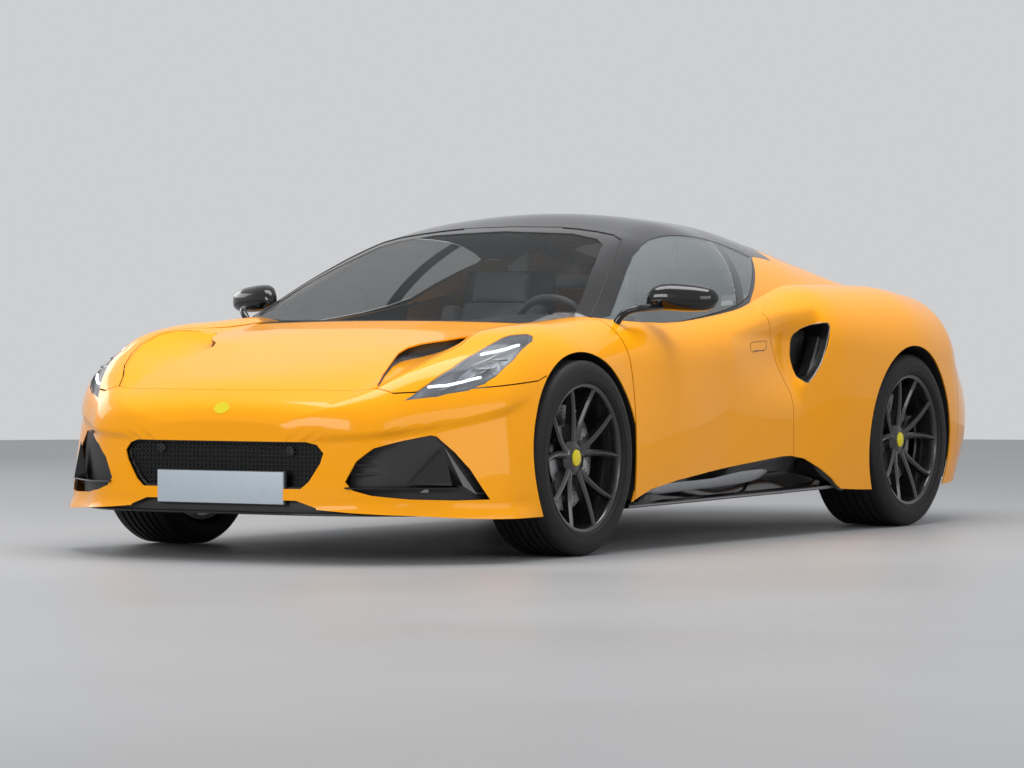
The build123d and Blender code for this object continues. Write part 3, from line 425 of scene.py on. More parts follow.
class Surface:
    """A smooth skin: its mesh, and its normals anywhere near it, for panels cut from it."""

    def __init__(self, name, grid):
        self.name, self.grid = name, grid * 0.001
        rows, columns = grid.shape[:2]
        along = np.gradient(self.grid, axis=0)
        round_it = np.gradient(self.grid, axis=1)
        normals = np.cross(along, round_it)
        size = np.linalg.norm(normals, axis=2, keepdims=True)
        normals = normals / np.maximum(size, 1e-12)
        outward = self.grid - self.grid.mean(axis=(0, 1))
        if (normals * outward).sum() < 0:
            normals = -normals
        self.normals = normals
        self.flat_normals = normals.reshape(-1, 3)
        self.points = self.grid.reshape(-1, 3)
        self.faces = grid_faces(rows, columns)
        self.tree = BVHTree.FromPolygons([tuple(p) for p in self.points], self.faces)

    def normal_at(self, place):
        """The skin's own normal nearest to a place, blended over its face's corners."""
        hit, _, index, distance = self.tree.find_nearest(place)
        corners = self.faces[index]
        weights = [1.0 / ((Vector(self.points[c]) - hit).length + 1e-5) for c in corners]
        total = sum(weights)
        blend = sum((self.flat_normals[c] * w for c, w in zip(corners, weights)), np.zeros(3)) / total
        return Vector(blend).normalized(), distance

    def shell(self, thickness, x0=-FAR, x1=FAR, left_only=False, depth=0.0):
        """Part of the skin, from x0 to x1, as a thin closed solid from depth to depth + thickness inwards."""
        xs = self.grid[:, 0, 0]
        first = max(0, int(np.searchsorted(xs, x0 * 0.001)) - 2)
        last = min(len(xs), int(np.searchsorted(xs, x1 * 0.001)) + 3)
        middle = self.grid.shape[1] // 2
        column = middle - 2 if left_only else 0
        outer = self.grid[first:last, column:] - self.normals[first:last, column:] * depth * 0.001
        inner = outer - self.normals[first:last, column:] * thickness * 0.001
        rows, columns = outer.shape[:2]
        points = np.vstack([outer.reshape(-1, 3), inner.reshape(-1, 3)])
        made = mesh_from(self.name, points, sheet_faces(rows, columns), scale=1.0)
        if volume(made.data) < 0:
            made.data.flip_normals()
        return made

    def polish(self, piece):
        """Gives a panel cut from this skin the skin's own normals, so that it shines without ripples."""
        smooth(piece, 30.0)
        mesh = piece.data
        skin = [self.normal_at(v.co) for v in mesh.vertices]
        normals = [None] * len(mesh.loops)
        for face in mesh.polygons:
            for loop_index in face.loop_indices:
                normal, distance = skin[mesh.loops[loop_index].vertex_index]
                turn = normal.dot(face.normal)
                if abs(turn) > 0.75 and distance < 0.012:
                    normals[loop_index] = normal if turn > 0 else -normal
                else:
                    normals[loop_index] = face.normal
        mesh.normals_split_custom_set([tuple(n) for n in normals])
        return piece


# ---------------------------------------------------------------- shader tools
class Value:
    """A node socket that can be used in arithmetic."""

    def __init__(self, shader, socket):
        self.shader, self.socket = shader, socket

    def math(self, operation, *others):
        values = dict(enumerate((self, *others)))
        return self.shader.node("ShaderNodeMath", {"operation": operation}, values)

    def __add__(self, other):
        return self.math("ADD", other)

    def __sub__(self, other):
        return self.math("SUBTRACT", other)

    def __rsub__(self, other):
        return self.shader.node("ShaderNodeMath", {"operation": "SUBTRACT"}, {0: other, 1: self})

    def __mul__(self, other):
        return self.math("MULTIPLY", other)

    __radd__, __rmul__ = __add__, __mul__

    def over(self, low, high):
        """0 below low, 1 above high, and smooth between."""
        settings = {"interpolation_type": "SMOOTHSTEP"}
        return self.shader.node("ShaderNodeMapRange", settings, {0: self, 1: low, 2: high})


class Shader:
    """A material's node tree, with its Principled shader."""

    def __init__(self, name, color, roughness, **constants):
        self.material = bpy.data.materials.new(name)
        self.material.use_nodes = True
        self.tree = self.material.node_tree
        self.main = next(n for n in self.tree.nodes if n.type == "BSDF_PRINCIPLED")
        self.main.inputs["Base Color"].default_value = (*color, 1)
        self.main.inputs["Roughness"].default_value = roughness
        for key, value in constants.items():
            self.main.inputs[key.replace("_", " ")].default_value = value
        self.material.diffuse_color = (*color, 1)

    def node(self, kind, settings=None, values=None, output=0):
        made = self.tree.nodes.new(kind)
        for key, value in (settings or {}).items():
            setattr(made, key, value)
        for key, value in (values or {}).items():
            if isinstance(value, Value):
                self.tree.links.new(value.socket, made.inputs[key])
            else:
                made.inputs[key].default_value = value
        return Value(self, made.outputs[output])

    def place(self, scale=(1, 1, 1)):
        """Object coordinates in metres, scaled."""
        at = self.node("ShaderNodeTexCoord", output="Object")
        return self.node("ShaderNodeMapping", values={"Vector": at, "Scale": scale})

    def noise(self, scale, detail=3.0, stretch=(1, 1, 1)):
        values = {"Vector": self.place(stretch), "Scale": scale, "Detail": detail}
        return self.node("ShaderNodeTexNoise", values=values)

    def tint(self, mask, first, second):
        """A colour that runs from first to second as mask goes from 0 to 1."""
        values = {0: mask, 6: (*first, 1), 7: (*second, 1)}
        return self.node("ShaderNodeMix", {"data_type": "RGBA"}, values, output=2)

    def set(self, socket, value):
        self.tree.links.new(value.socket, self.main.inputs[socket])
        return self

    def bump(self, height, distance, strength=0.5):
        values = {"Height": height, "Distance": distance, "Strength": strength}
        return self.set("Normal", self.node("ShaderNodeBump", values=values))


def paint(name, color, deep):
    """Clear-coated body paint with a fine flake and a slow change of tone."""
    shine = {"Coat_Weight": 0.6, "Coat_Roughness": 0.02, "Coat_IOR": 1.36, "Specular_IOR_Level": 0.08}
    shader = Shader(name, color, 0.32, **shine)
    slow = shader.noise(1.6, 2.0).over(0.3, 0.7)
    flake = shader.noise(2600.0, 1.0).over(0.35, 0.75)
    shader.set("Base Color", shader.tint(slow * 0.25 + flake * 0.15, color, deep))
    shader.set("Roughness", flake * 0.08 + 0.26)
    return shader.material


def gloss_black():
    shine = {"Coat_Weight": 0.4, "Coat_Roughness": 0.03, "Specular_IOR_Level": 0.35}
    shader = Shader("gloss_black", (0.003, 0.003, 0.0035), 0.12, **shine)
    shader.set("Roughness", shader.noise(40.0).over(0.2, 0.8) * 0.06 + 0.10)
    return shader.material


def satin_plastic():
    shader = Shader("satin_plastic", (0.012, 0.012, 0.013), 0.5)
    grain = shader.noise(900.0, 4.0)
    shader.set("Roughness", grain * 0.25 + 0.38)
    shader.set("Base Color", shader.tint(grain, (0.009, 0.009, 0.010), (0.018, 0.018, 0.019)))
    shader.bump(grain, 0.0004, 0.4)
    return shader.material


def window_glass(name, color, clearness):
    shader = Shader(name, color, 0.0, Coat_Weight=0.3, IOR=1.5, Alpha=1.0 - clearness)
    shader.main.inputs["Specular IOR Level"].default_value = 0.7
    streak = shader.noise(3.0, 2.0).over(0.4, 0.8)
    shader.set("Roughness", streak * 0.02 + 0.01)
    return shader.material


def rubber():
    shader = Shader("tyre_rubber", (0.010, 0.010, 0.011), 0.72, Specular_IOR_Level=0.3)
    dust = shader.noise(60.0, 5.0).over(0.35, 0.75)
    shader.set("Base Color", shader.tint(dust, (0.007, 0.007, 0.008), (0.017, 0.017, 0.018)))
    shader.set("Roughness", dust * 0.18 + 0.55)
    shader.bump(shader.noise(1200.0, 2.0), 0.0004, 0.35)
    return shader.material


def metal(name, color, roughness, streaks=(60.0, 60.0, 60.0)):
    shader = Shader(name, color, roughness, Metallic=1.0)
    brushed = shader.noise(1.0, 4.0, streaks)
    shader.set("Roughness", brushed * 0.2 + (roughness - 0.08))
    light = tuple(min(1.0, c * 1.15) for c in color)
    shader.set("Base Color", shader.tint(brushed, tuple(c * 0.85 for c in color), light))
    shader.bump(brushed, 0.0003, 0.2)
    return shader.material


def wheel_black():
    shader = Shader("wheel_black", (0.012, 0.012, 0.013), 0.25, Coat_Weight=0.6, Coat_Roughness=0.08)
    shader.set("Roughness", shader.noise(120.0).over(0.3, 0.8) * 0.1 + 0.2)
    return shader.material


def seat_cloth():
    shader = Shader("seat_cloth", (0.16, 0.16, 0.165), 0.85, Sheen_Weight=0.3)
    at = shader.place()
    weave = shader.node("ShaderNodeTexVoronoi", values={"Vector": at, "Scale": 420.0})
    fuzz = shader.noise(900.0, 3.0)
    shader.set("Base Color", shader.tint(fuzz, (0.12, 0.12, 0.125), (0.21, 0.21, 0.215)))
    shader.set("Roughness", fuzz * 0.2 + 0.7)
    shader.bump(weave, 0.0008, 0.5)
    return shader.material


def glow(name, color, strength):
    shader = Shader(name, color, 0.2)
    shader.main.inputs["Emission Color"].default_value = (*color, 1)
    shader.main.inputs["Emission Strength"].default_value = strength
    shader.set("Roughness", shader.noise(200.0) * 0.1 + 0.15)
    return shader.material


def plate_finish():
    shader = Shader("plate_blank", (0.42, 0.48, 0.53), 0.4)
    cloud = shader.noise(25.0).over(0.3, 0.7)
    shader.set("Base Color", shader.tint(cloud, (0.40, 0.455, 0.50), (0.415, 0.47, 0.515)))
    shader.set("Roughness", cloud * 0.1 + 0.35)
    return shader.material


FINISH = {}


def finish(name):
    """A finish by name, made once."""
    if name not in FINISH:
        colors = bpy.context.scene.coupe_colors
        makers = {
            "paint": lambda: paint("amber_paint", tuple(colors.body), tuple(colors.body_deep)),
            "gloss_black": gloss_black,
            "satin_plastic": satin_plastic,
            "window": lambda: window_glass("window_glass", (0.03, 0.036, 0.038), 0.84),
            # The side glass's light grey colour is a painted reflection of the bright studio; the glass itself is
            # half clear.
            "side_window": lambda: window_glass("side_window", (0.20, 0.225, 0.23), 0.50),
            "dark_window": lambda: window_glass("dark_window", (0.008, 0.009, 0.009), 0.25),
            "lens": lambda: window_glass("lamp_lens", (0.5, 0.52, 0.55), 0.88),
            "rubber": rubber,
            "steel": lambda: metal("machined_steel", (0.35, 0.35, 0.36), 0.35),
            "disc": lambda: metal("brake_disc", (0.42, 0.42, 0.43), 0.3, (4.0, 4.0, 400.0)),
            "caliper": lambda: metal("caliper_paint", (0.30, 0.30, 0.31), 0.4),
            # Grey metal for edges of dark parts: a painted highlight along the spoke bevels, the skirt's lower edge
            # and the scoop's rim.
            "edge": lambda: metal("grey_edge_highlight", (0.28, 0.28, 0.30), 0.3),
            "aluminium": lambda: metal("cast_aluminium", (0.45, 0.46, 0.47), 0.5),
            "bright": lambda: metal("bright_trim", (0.75, 0.76, 0.77), 0.18),
            "wing": lambda: metal("grey_wing", (0.30, 0.31, 0.33), 0.35),
            "chrome": lambda: metal("dark_chrome", (0.09, 0.10, 0.115), 0.3),
            "wheel": wheel_black,
            "cloth": seat_cloth,
            "light": lambda: glow("light_bar", (0.9, 0.94, 1.0), 1.6),
            "red": lambda: glow("tail_red", (0.35, 0.01, 0.01), 0.25),
            "plate": plate_finish,
            "cap": lambda: paint("cap_yellow", (0.75, 0.62, 0.02), (0.6, 0.5, 0.02)),
        }
        FINISH[name] = makers[name]()
    return FINISH[name]


def dress(piece, name, body_name, replaces=(), finish_name=None):
    """Names a piece and gives it its finish, its body and the frame nodes that it stands for."""
    piece.name = name
    piece.data.name = name
    if finish_name:
        piece.data.materials.clear()
        piece.data.materials.append(finish(finish_name))
    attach(piece, body_name)
    if replaces:
        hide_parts(*replaces)
    return piece


def trim(piece, name, finish_name="satin_plastic", body_name="body", replaces=()):
    """Dresses a piece of black plastic."""
    return dress(piece, name, body_name, replaces, finish_name)


# ---------------------------------------------------------------- outlines, in millimetres
SKIN = 5.0  # thickness of a painted panel
GAP = 2.2  # half of a shut gap
BELT_LINE = [
    (DOOR_FRONT_X - 30, 822), (DOOR_FRONT_X - 200, 806), (DOOR_FRONT_X - 365, 804), (DOOR_FRONT_X - 520, 812),
    (DOOR_FRONT_X - 707, 831), (DOOR_FRONT_X - 870, 850), (DOOR_FRONT_X - 1030, 876),
    (DOOR_FRONT_X - 1158, 908),
]
WINDOW_TOP = [
    (-276, 943), (-349, 981), (-443, 1027), (-492, 1050), (-498, 1061), (-442, 1079), (-363, 1097),
    (-287, 1112), (-198, 1125), (-90, 1132), (0, 1134), (76, 1134), (145, 1129), (243, 1115), (329, 1094),
    (441, 1054), (558, 996), (667, 936), (768, 877), (850, 832),
]
PILLAR_COVER = 75.0  # width of the dark cover behind the door glass
SEAL_FOOT = 822.0  # lowest point of the windscreen's side seals
# Rear edge of the door glass: (x, z) at its foot and head.
WINDOW_SPLIT = ((DOOR_FRONT_X - 1000, 860), (DOOR_FRONT_X - 1175, 1120))
ROCKER_LINE = [
    (1040, 160), (963, 178), (918, 192), (828, 216), (617, 243), (357, 264), (98, 282), (-149, 298),
    (-250, 304), (-320, 304), (-420, 291), (-530, 252), (-622, 209), (-660, 184), (-698, 167), (-830, 160),
]
DOOR_REAR_LINE = [
    (DOOR_REAR_X + 104, 900), (DOOR_REAR_X + 147, 846), (DOOR_REAR_X + 100, 735), (DOOR_REAR_X + 2, 536),
    (DOOR_REAR_X - 8, 300), (DOOR_REAR_X - 8, 100),
]
# Plan outlines, (x, y) on the left.
HOOD_EDGE = [
    (HOOD_REAR_X, 592), (1400, 612), (1600, 655), (1727, 668), (1816, 645), (1913, 606), (1989, 557),
    (2045, 532), (2056, 508), (2083, 350), (2105, 180),
]
HOOD_NOSE_X = 2112
UNDER_HOOD = 450.0  # height below the hood's skin, for cuts from above
VENT_INNER = [
    (1410, 556), (1470, 530), (1541, 493), (1601, 431), (1652, 407), (1716, 410), (1824, 448), (1927, 483),
    (2030, 524),
]
VENT_OUTER = [
    (1410, 566), (1480, 598), (1560, 632), (1640, 652), (1727, 658), (1816, 636), (1913, 597), (1989, 549),
    (2036, 530),
]
VENT_DEPTH = [0, 20, 37, 42, 38, 28, 10, 4, 0]
HEADLAMP = [
    (1480, 805), (1513, 821), (1662, 837), (1774, 832), (1820, 818), (1874, 785), (1957, 715), (2037, 629),
    (2006, 649), (1954, 677), (1860, 716), (1753, 740), (1649, 757), (1562, 765), (1487, 788),
]
# Front outlines, (y, z).
GRILLE_HALF = [(0, 408), (346, 408), (383, 398), (406, 371), (395, 337), (354, 275), (323, 250), (0, 250)]
LIP_HALF = [(0, 213), (306, 211), (379, 187), (400, 100)]
LIP_LOW = [(0, 171), (120, 173), (260, 178), (379, 182), (492, 173), (677, 163), (839, 152), (960, 146)]
INTAKE = [
    (478, 275), (514, 344), (565, 388), (637, 413), (708, 431), (723, 427), (773, 374), (814, 317), (866, 215),
    (783, 213), (664, 217), (562, 230), (504, 247),
]
# Side outlines, (x, z).
BUMPER_SIDE = [(FRONT_AXLE_X + 242, 626), (FRONT_AXLE_X + 290, 610), (2040, 571), (2080, 640), (AHEAD, 640)]
SCOOP = [
    (-407, 729), (-424, 765), (-464, 786), (-519, 799), (-571, 808), (-596, 808), (-602, 791), (-586, 750),
    (-560, 699), (-529, 655), (-480, 604), (-443, 579), (-420, 580), (-411, 605), (-405, 634), (-402, 678),
]
SCOOP_MIDDLE = np.array([-480.0, 700.0])  # the duct narrows towards it
SCOOP_END = (-560.0, 735.0, 700.0)
SCOOP_BLADE = [(-590, 752), (-570, 715), (-545, 672), (-515, 628), (-486, 588)]
SCOOP_REAR = [(577, -440), (604, -480), (655, -529), (699, -560), (750, -586), (791, -602), (809, -602)]  # (z, x)
# The channel ahead of the scoop lies under this line.
SCOOP_CREASE = [(160, 763), (-41, 798), (-258, 838), (-449, 854), (-658, 874), (-857, 886)]
SCOOP_LOW_CREASE = 750.0
SCOOP_DEPTH = 58.0
CHANNEL_X, CHANNEL_RUN = 165.0, 520.0  # where the channel ahead of the scoop starts, and its length
CHANNEL_Z, CHANNEL_RISE = 470.0, 230.0  # where it fades out below, and over what height
CHANNEL_LIP, CHANNEL_EASE = 26.0, 40.0  # how far ahead of the scoop's rear edge it ends, and over what length
UNDERCUT_DEPTH = 16.0
UNDERCUT_X, UNDERCUT_RUN = 1640.0, 120.0  # where the undercut starts, and over what length
# The undercut lies under this line.
UNDERCUT = [(1660, 556), (1783, 515), (1899, 483), (2015, 456), (2184, 427)]
# Rear outlines, (y, z).
TAIL_LAMP = [(400, 800), (560, 802), (880, 770), (890, 740), (560, 742), (420, 750)]
TAIL_PANEL = [(0, 850), (470, 850), (560, 760), (570, 560), (520, 470), (0, 460)]
DIFFUSER_Z = 400.0
# Seam between the quarters and the rear bumper, (x, z) from the sill up.
REAR_SEAM = [(-1744, BELOW), (-1744, 690), (-1800, 742)]


def pushed(grid):
    """The body skin with the channel ahead of the side scoop and the front bumper's undercut."""
    grid = grid.copy()
    x, y, z = grid[..., 0], grid[..., 1], grid[..., 2]
    side = np.sign(y)
    crease_x, crease_z = zip(*sorted(SCOOP_CREASE))
    crease = np.interp(x, crease_x, crease_z)
    below = np.clip((crease - z) / np.maximum(crease - SCOOP_LOW_CREASE, 18.0), 0, 1)
    fade = np.clip((z - CHANNEL_Z) / CHANNEL_RISE, 0, 1)
    run = np.clip((CHANNEL_X - x) / CHANNEL_RUN, 0, 1) ** 1.1
    rear_edge = np.interp(z, *zip(*SCOOP_REAR))
    ahead = np.clip((x - rear_edge - CHANNEL_LIP) / CHANNEL_EASE, 0, 1)
    near_waist = np.abs(y) > 640
    curve = below * fade * fade * (3 - 2 * fade)
    depth = SCOOP_DEPTH * run * curve * ahead * near_waist
    y -= side * depth
    under_x, under_z = zip(*UNDERCUT)
    line = np.interp(x, under_x, under_z)
    reach = np.clip((x - UNDERCUT_X) / UNDERCUT_RUN, 0, 1)
    hollow = np.clip((line - z) / 30.0, 0, 1) * np.clip((z - 160.0) / 60.0, 0, 1)
    hollow *= hollow * (3 - 2 * hollow) / np.maximum(hollow, 0.001)
    wide = np.clip((np.abs(y) - 100.0) / 380.0, 0, 1)
    push = UNDERCUT_DEPTH * reach * hollow * wide * wide * (3 - 2 * wide)
    y -= side * push * 0.8
    x -= push * 0.6 * np.clip((x - 1900) / 200, 0, 1)
    return grid


def ended(grid, centre_z, at_start, last=0.19):
    """The skin with its end closed towards a low point on the centre plane."""
    edge = grid[0] if at_start else grid[-1]
    rings = []
    for scale in (0.97, 0.9, 0.75, 0.5, 0.3, last):
        ring = edge.copy()
        ring[:, 1] *= scale
        ring[:, 2] = centre_z + (ring[:, 2] - centre_z) * scale
        rings.append(ring)
    if at_start:
        return np.concatenate([np.array(rings[::-1]), grid])
    return np.concatenate([grid, np.array(rings)])


def spread(rows, step):
    """Stations through a table, about step apart and closer near its ends."""
    low, high = min(r[0] for r in rows), max(r[0] for r in rows)
    count = int((high - low) / step)
    t = np.linspace(0, 1, count)
    bent = t - 0.12 * np.sin(2 * np.pi * t) / (2 * np.pi) * 4
    return low + (high - low) * np.clip(bent, 0, 1)


SKINS = {}


def skin_step():
    """Distance between the skins' stations, in millimetres."""
    return 15.0


def body():
    """The body's whole painted skin, made once."""
    if "body" not in SKINS:
        columns = skin_grid(BODY_SKIN, body_half, spread(BODY_SKIN, skin_step()), count=96, rounds=3)
        grid = ended(pushed(columns), centre_z=320.0, at_start=True, last=0.15)
        grid = ended(grid, centre_z=150.0, at_start=False)
        SKINS["body"] = Surface("body", grid)
    return SKINS["body"]


def house():
    """The greenhouse's whole skin, made once."""
    if "house" not in SKINS:
        columns = skin_grid(HOUSE_SKIN, house_half, spread(HOUSE_SKIN, skin_step()), count=64, rounds=3)
        SKINS["house"] = Surface("house", columns)
    return SKINS["house"]


def grown(points, by):
    """An outline moved outwards by a distance, or inwards if it is below 0."""
    area = sum(a[0] * b[1] - b[0] * a[1] for a, b in zip(points, points[1:] + points[:1]))
    turn = 1 if area > 0 else -1
    out = []
    for before, here, after in zip(points[-1:] + points[:-1], points, points[1:] + points[:1]):
        a = np.subtract(here, before)
        b = np.subtract(after, here)
        a, b = a / np.linalg.norm(a), b / np.linalg.norm(b)
        normal = np.array([a[1] + b[1], -a[0] - b[0]]) * turn
        normal /= max(np.linalg.norm(normal), 1e-9)
        lean = max(0.5, float(normal @ np.array([a[1], -a[0]]) * turn))
        out.append(tuple(np.add(here, normal * by / lean)))
    return out


def mirrored_loop(half):
    """A whole outline of (y, z) or (x, y) from its left half, which starts and ends on the centre."""
    return [*half, *[(-y, z) for y, z in reversed(half) if abs(y) > 1]]


def hood_outline(by=0.0):
    return grown([*HOOD_EDGE, (HOOD_NOSE_X, 0), *mirrored_y(reversed(HOOD_EDGE))], by)


def door_outline(by=0.0):
    front = [(DOOR_FRONT_X, 60), (DOOR_FRONT_X, 980), (DOOR_REAR_X + 100, 980)]
    return grown([*front, *DOOR_REAR_LINE, (DOOR_REAR_X - 8, 60)], by)


def rocker_outline():
    return [(2150, BELOW), (2150, 150), (1200, 150), *ROCKER_LINE, (-1200, 150), (-1200, BELOW)]


def bumper_outline(by=0.0):
    return grown([(FRONT_AXLE_X + 242, BELOW), *BUMPER_SIDE, (AHEAD, BELOW)], by)


def house_solid(by=0.0):
    """The greenhouse as one solid, to cut panels back from it."""
    grid = house().grid + house().normals * by * 0.001
    rows, columns = grid.shape[:2]
    base = np.empty((rows, 2, 3))
    base[:, 0], base[:, 1] = grid[:, 0], grid[:, -1]
    base[:, :, 2] = 0.5
    ring = np.concatenate([grid, base[:, 1:2], base[:, 0:1]], axis=1)
    total = columns + 2
    faces = grid_faces(rows, total, closed=True)
    faces += [tuple(range(total - 1, -1, -1)), tuple(range((rows - 1) * total, rows * total))]
    return mesh_from("house_solid", ring.reshape(-1, 3), faces, scale=1.0)


def twin(piece, surface, name, body_name, finish_name, replaces):
    """Dresses a left piece, and its mirror image as the right one. A surface gives both its normals."""
    other = flipped(piece, name.replace("left", "right"))
    for part, suffix in ((piece, "left"), (other, "right")):
        if surface:
            surface.polish(part)
        dress(part, name.replace("left", suffix), body_name.replace("left", suffix),
              [n.replace("left", suffix) for n in replaces], finish_name)


# ---------------------------------------------------------------- geometry nodes
def node_group(name, inputs):
    """A new geometry tree with named inputs. Returns the tree and its input and output nodes."""
    tree = bpy.data.node_groups.new(name, "GeometryNodeTree")
    for label, kind, default in inputs:
        item = tree.interface.new_socket(label, in_out="INPUT", socket_type=kind)
        if default is not None:
            item.default_value = default
    tree.interface.new_socket("Geometry", in_out="OUTPUT", socket_type="NodeSocketGeometry")
    return tree, tree.nodes.new("NodeGroupInput"), tree.nodes.new("NodeGroupOutput")


def copies_tree(name, inputs):
    """A geometry tree that puts copies of a piece on points. Returns it with the nodes left to link."""
    inputs = [("Piece", "NodeSocketObject", None), *inputs, ("Material", "NodeSocketMaterial", None)]
    tree, source, out = node_group(name, inputs)
    piece, place, real, paint_it = (tree.nodes.new(f"GeometryNode{kind}") for kind in
                                    ("ObjectInfo", "InstanceOnPoints", "RealizeInstances", "SetMaterial"))
    piece.transform_space = "ORIGINAL"
    tree.links.new(source.outputs["Piece"], piece.inputs[0])
    tree.links.new(piece.outputs["Geometry"], place.inputs["Instance"])
    tree.links.new(place.outputs[0], real.inputs[0])
    tree.links.new(source.outputs["Material"], paint_it.inputs["Material"])
    tree.links.new(paint_it.outputs[0], out.inputs["Geometry"])
    return tree, source, place, real, paint_it


def ring_tree():
    """Copies of a piece round an axle along Y."""
    if "ring_of_pieces" in bpy.data.node_groups:
        return bpy.data.node_groups["ring_of_pieces"]
    inputs = [("Count", "NodeSocketInt", 5), ("Centre", "NodeSocketVector", (0, 0, 0))]
    tree, source, place, real, paint_it = copies_tree("ring_of_pieces", inputs)
    nodes, link = tree.nodes, tree.links.new
    line = nodes.new("GeometryNodeMeshLine")
    line.inputs["Offset"].default_value = (0, 0, 0)
    index = nodes.new("GeometryNodeInputIndex")
    share, angle = nodes.new("ShaderNodeMath"), nodes.new("ShaderNodeMath")
    share.operation, angle.operation = "DIVIDE", "MULTIPLY"
    angle.inputs[1].default_value = math.tau
    turn = nodes.new("ShaderNodeCombineXYZ")
    move = nodes.new("GeometryNodeSetPosition")
    link(source.outputs["Count"], line.inputs["Count"])
    link(index.outputs[0], share.inputs[0])
    link(source.outputs["Count"], share.inputs[1])
    link(share.outputs[0], angle.inputs[0])
    link(angle.outputs[0], turn.inputs["Y"])
    link(line.outputs[0], place.inputs["Points"])
    link(turn.outputs[0], place.inputs["Rotation"])
    link(real.outputs[0], move.inputs["Geometry"])
    link(source.outputs["Centre"], move.inputs["Offset"])
    link(move.outputs[0], paint_it.inputs["Geometry"])
    return tree


def lattice_tree():
    """Copies of a small piece in a grid on the YZ plane."""
    sizes = (("Across", "Int", 30), ("Up", "Int", 10), ("Width", "Float", 0.8), ("Height", "Float", 0.2))
    inputs = [(label, f"NodeSocket{kind}", default) for label, kind, default in sizes]
    tree, source, place, real, paint_it = copies_tree("piece_lattice", inputs)
    grid = tree.nodes.new("GeometryNodeMeshGrid")
    shift = tree.nodes.new("GeometryNodeTransform")
    shift.inputs["Rotation"].default_value = (math.pi / 2, 0, math.pi / 2)
    for label, socket in (("Width", "Size X"), ("Height", "Size Y"), ("Across", "Vertices X"), ("Up", "Vertices Y")):
        tree.links.new(source.outputs[label], grid.inputs[socket])
    tree.links.new(grid.outputs["Mesh"], shift.inputs["Geometry"])
    tree.links.new(shift.outputs[0], place.inputs["Points"])
    tree.links.new(real.outputs[0], paint_it.inputs["Geometry"])
    return tree


def repeat(name, tree, **values):
    """A plain mesh made by a geometry tree with the given inputs. The source piece is removed."""
    holder = new_object(name, bpy.data.meshes.new(name))
    modifier = holder.modifiers.new("repeat", "NODES")
    modifier.node_group = tree
    for item in tree.interface.items_tree:
        if item.in_out == "INPUT":
            modifier[item.identifier] = values[item.name.lower()]
    values["piece"].hide_render = True
    apply_modifiers(holder)
    discard(values["piece"])
    return holder


# ---------------------------------------------------------------- settings
def color_property(name, description, default):
    limits = {"subtype": "COLOR", "size": 3, "min": 0, "max": 1}
    return bpy.props.FloatVectorProperty(name=name, description=description, default=default, **limits)


class CoupeColors(bpy.types.PropertyGroup):
    body: color_property("Body", "Body paint", (0.95, 0.365, 0.001))
    body_deep: color_property("Body shade", "Deeper tone of the body paint", (0.88, 0.325, 0.001))
    floor: color_property("Floor", "Studio floor", (0.325, 0.327, 0.332))
    backdrop: color_property("Backdrop", "Studio backdrop", (0.615, 0.622, 0.635))


class CoupeSizes(bpy.types.PropertyGroup):
    lens: bpy.props.FloatProperty(
        name="Lens", description="Camera's focal length on a 36 mm sensor", subtype="DISTANCE_CAMERA", default=149.46
    )
    eye: bpy.props.FloatVectorProperty(
        name="Eye", description="Camera's place", subtype="TRANSLATION", unit="LENGTH", size=3,
        default=(14.047, 8.225, 0.804),
    )
    look: bpy.props.FloatVectorProperty(
        name="Look", description="Camera's direction", subtype="DIRECTION", size=3,
        default=(-0.85852343, -0.51257832, -0.01417677),
    )
    key_light: bpy.props.FloatProperty(
        name="Key light", description="Power of the overhead panel", subtype="POWER", default=260.0, min=0
    )


class CoupeOperator(bpy.types.Operator):
    bl_options = {"REGISTER", "UNDO"}


# ---------------------------------------------------------------- stage
def area_light(name, place, target, size, power, tone=(1, 1, 1)):
    lamp = bpy.data.lights.new(name, "AREA")
    lamp.shape = "RECTANGLE"
    lamp.size, lamp.size_y = size
    lamp.energy = power
    lamp.color = tone
    holder = bpy.data.objects.new(name, lamp)
    bpy.context.scene.collection.objects.link(holder)
    holder.location = place
    holder.rotation_euler = (Vector(target) - Vector(place)).to_track_quat("-Z", "Y").to_euler()
    return holder


FLOOR_RADIUS = 13600.0
SKY_TONE = (0.93, 0.96, 1.0, 1)
SKY_LOW, SKY_HIGH = (-0.1, 0.26), (0.9, 0.88)  # upward slope and the sky's light there
# Light panels: name, place, target and size in metres, and share of the key light.
PANELS = [
    ("overhead", (0.6, 0.3, 5.2), (0.2, 0, 0.6), (5.5, 2.6), 1.0),
    ("left_wall", (3.2, 8.0, 2.8), (0.3, 0.2, 0.6), (8.0, 2.4), 0.62),
    ("front_wall", (9.0, -1.0, 2.6), (1.2, 0, 0.5), (4.5, 2.2), 0.8),
    ("right_wall", (-1.0, -7.5, 3.0), (0, 0, 0.7), (7.0, 2.0), 0.4),
]


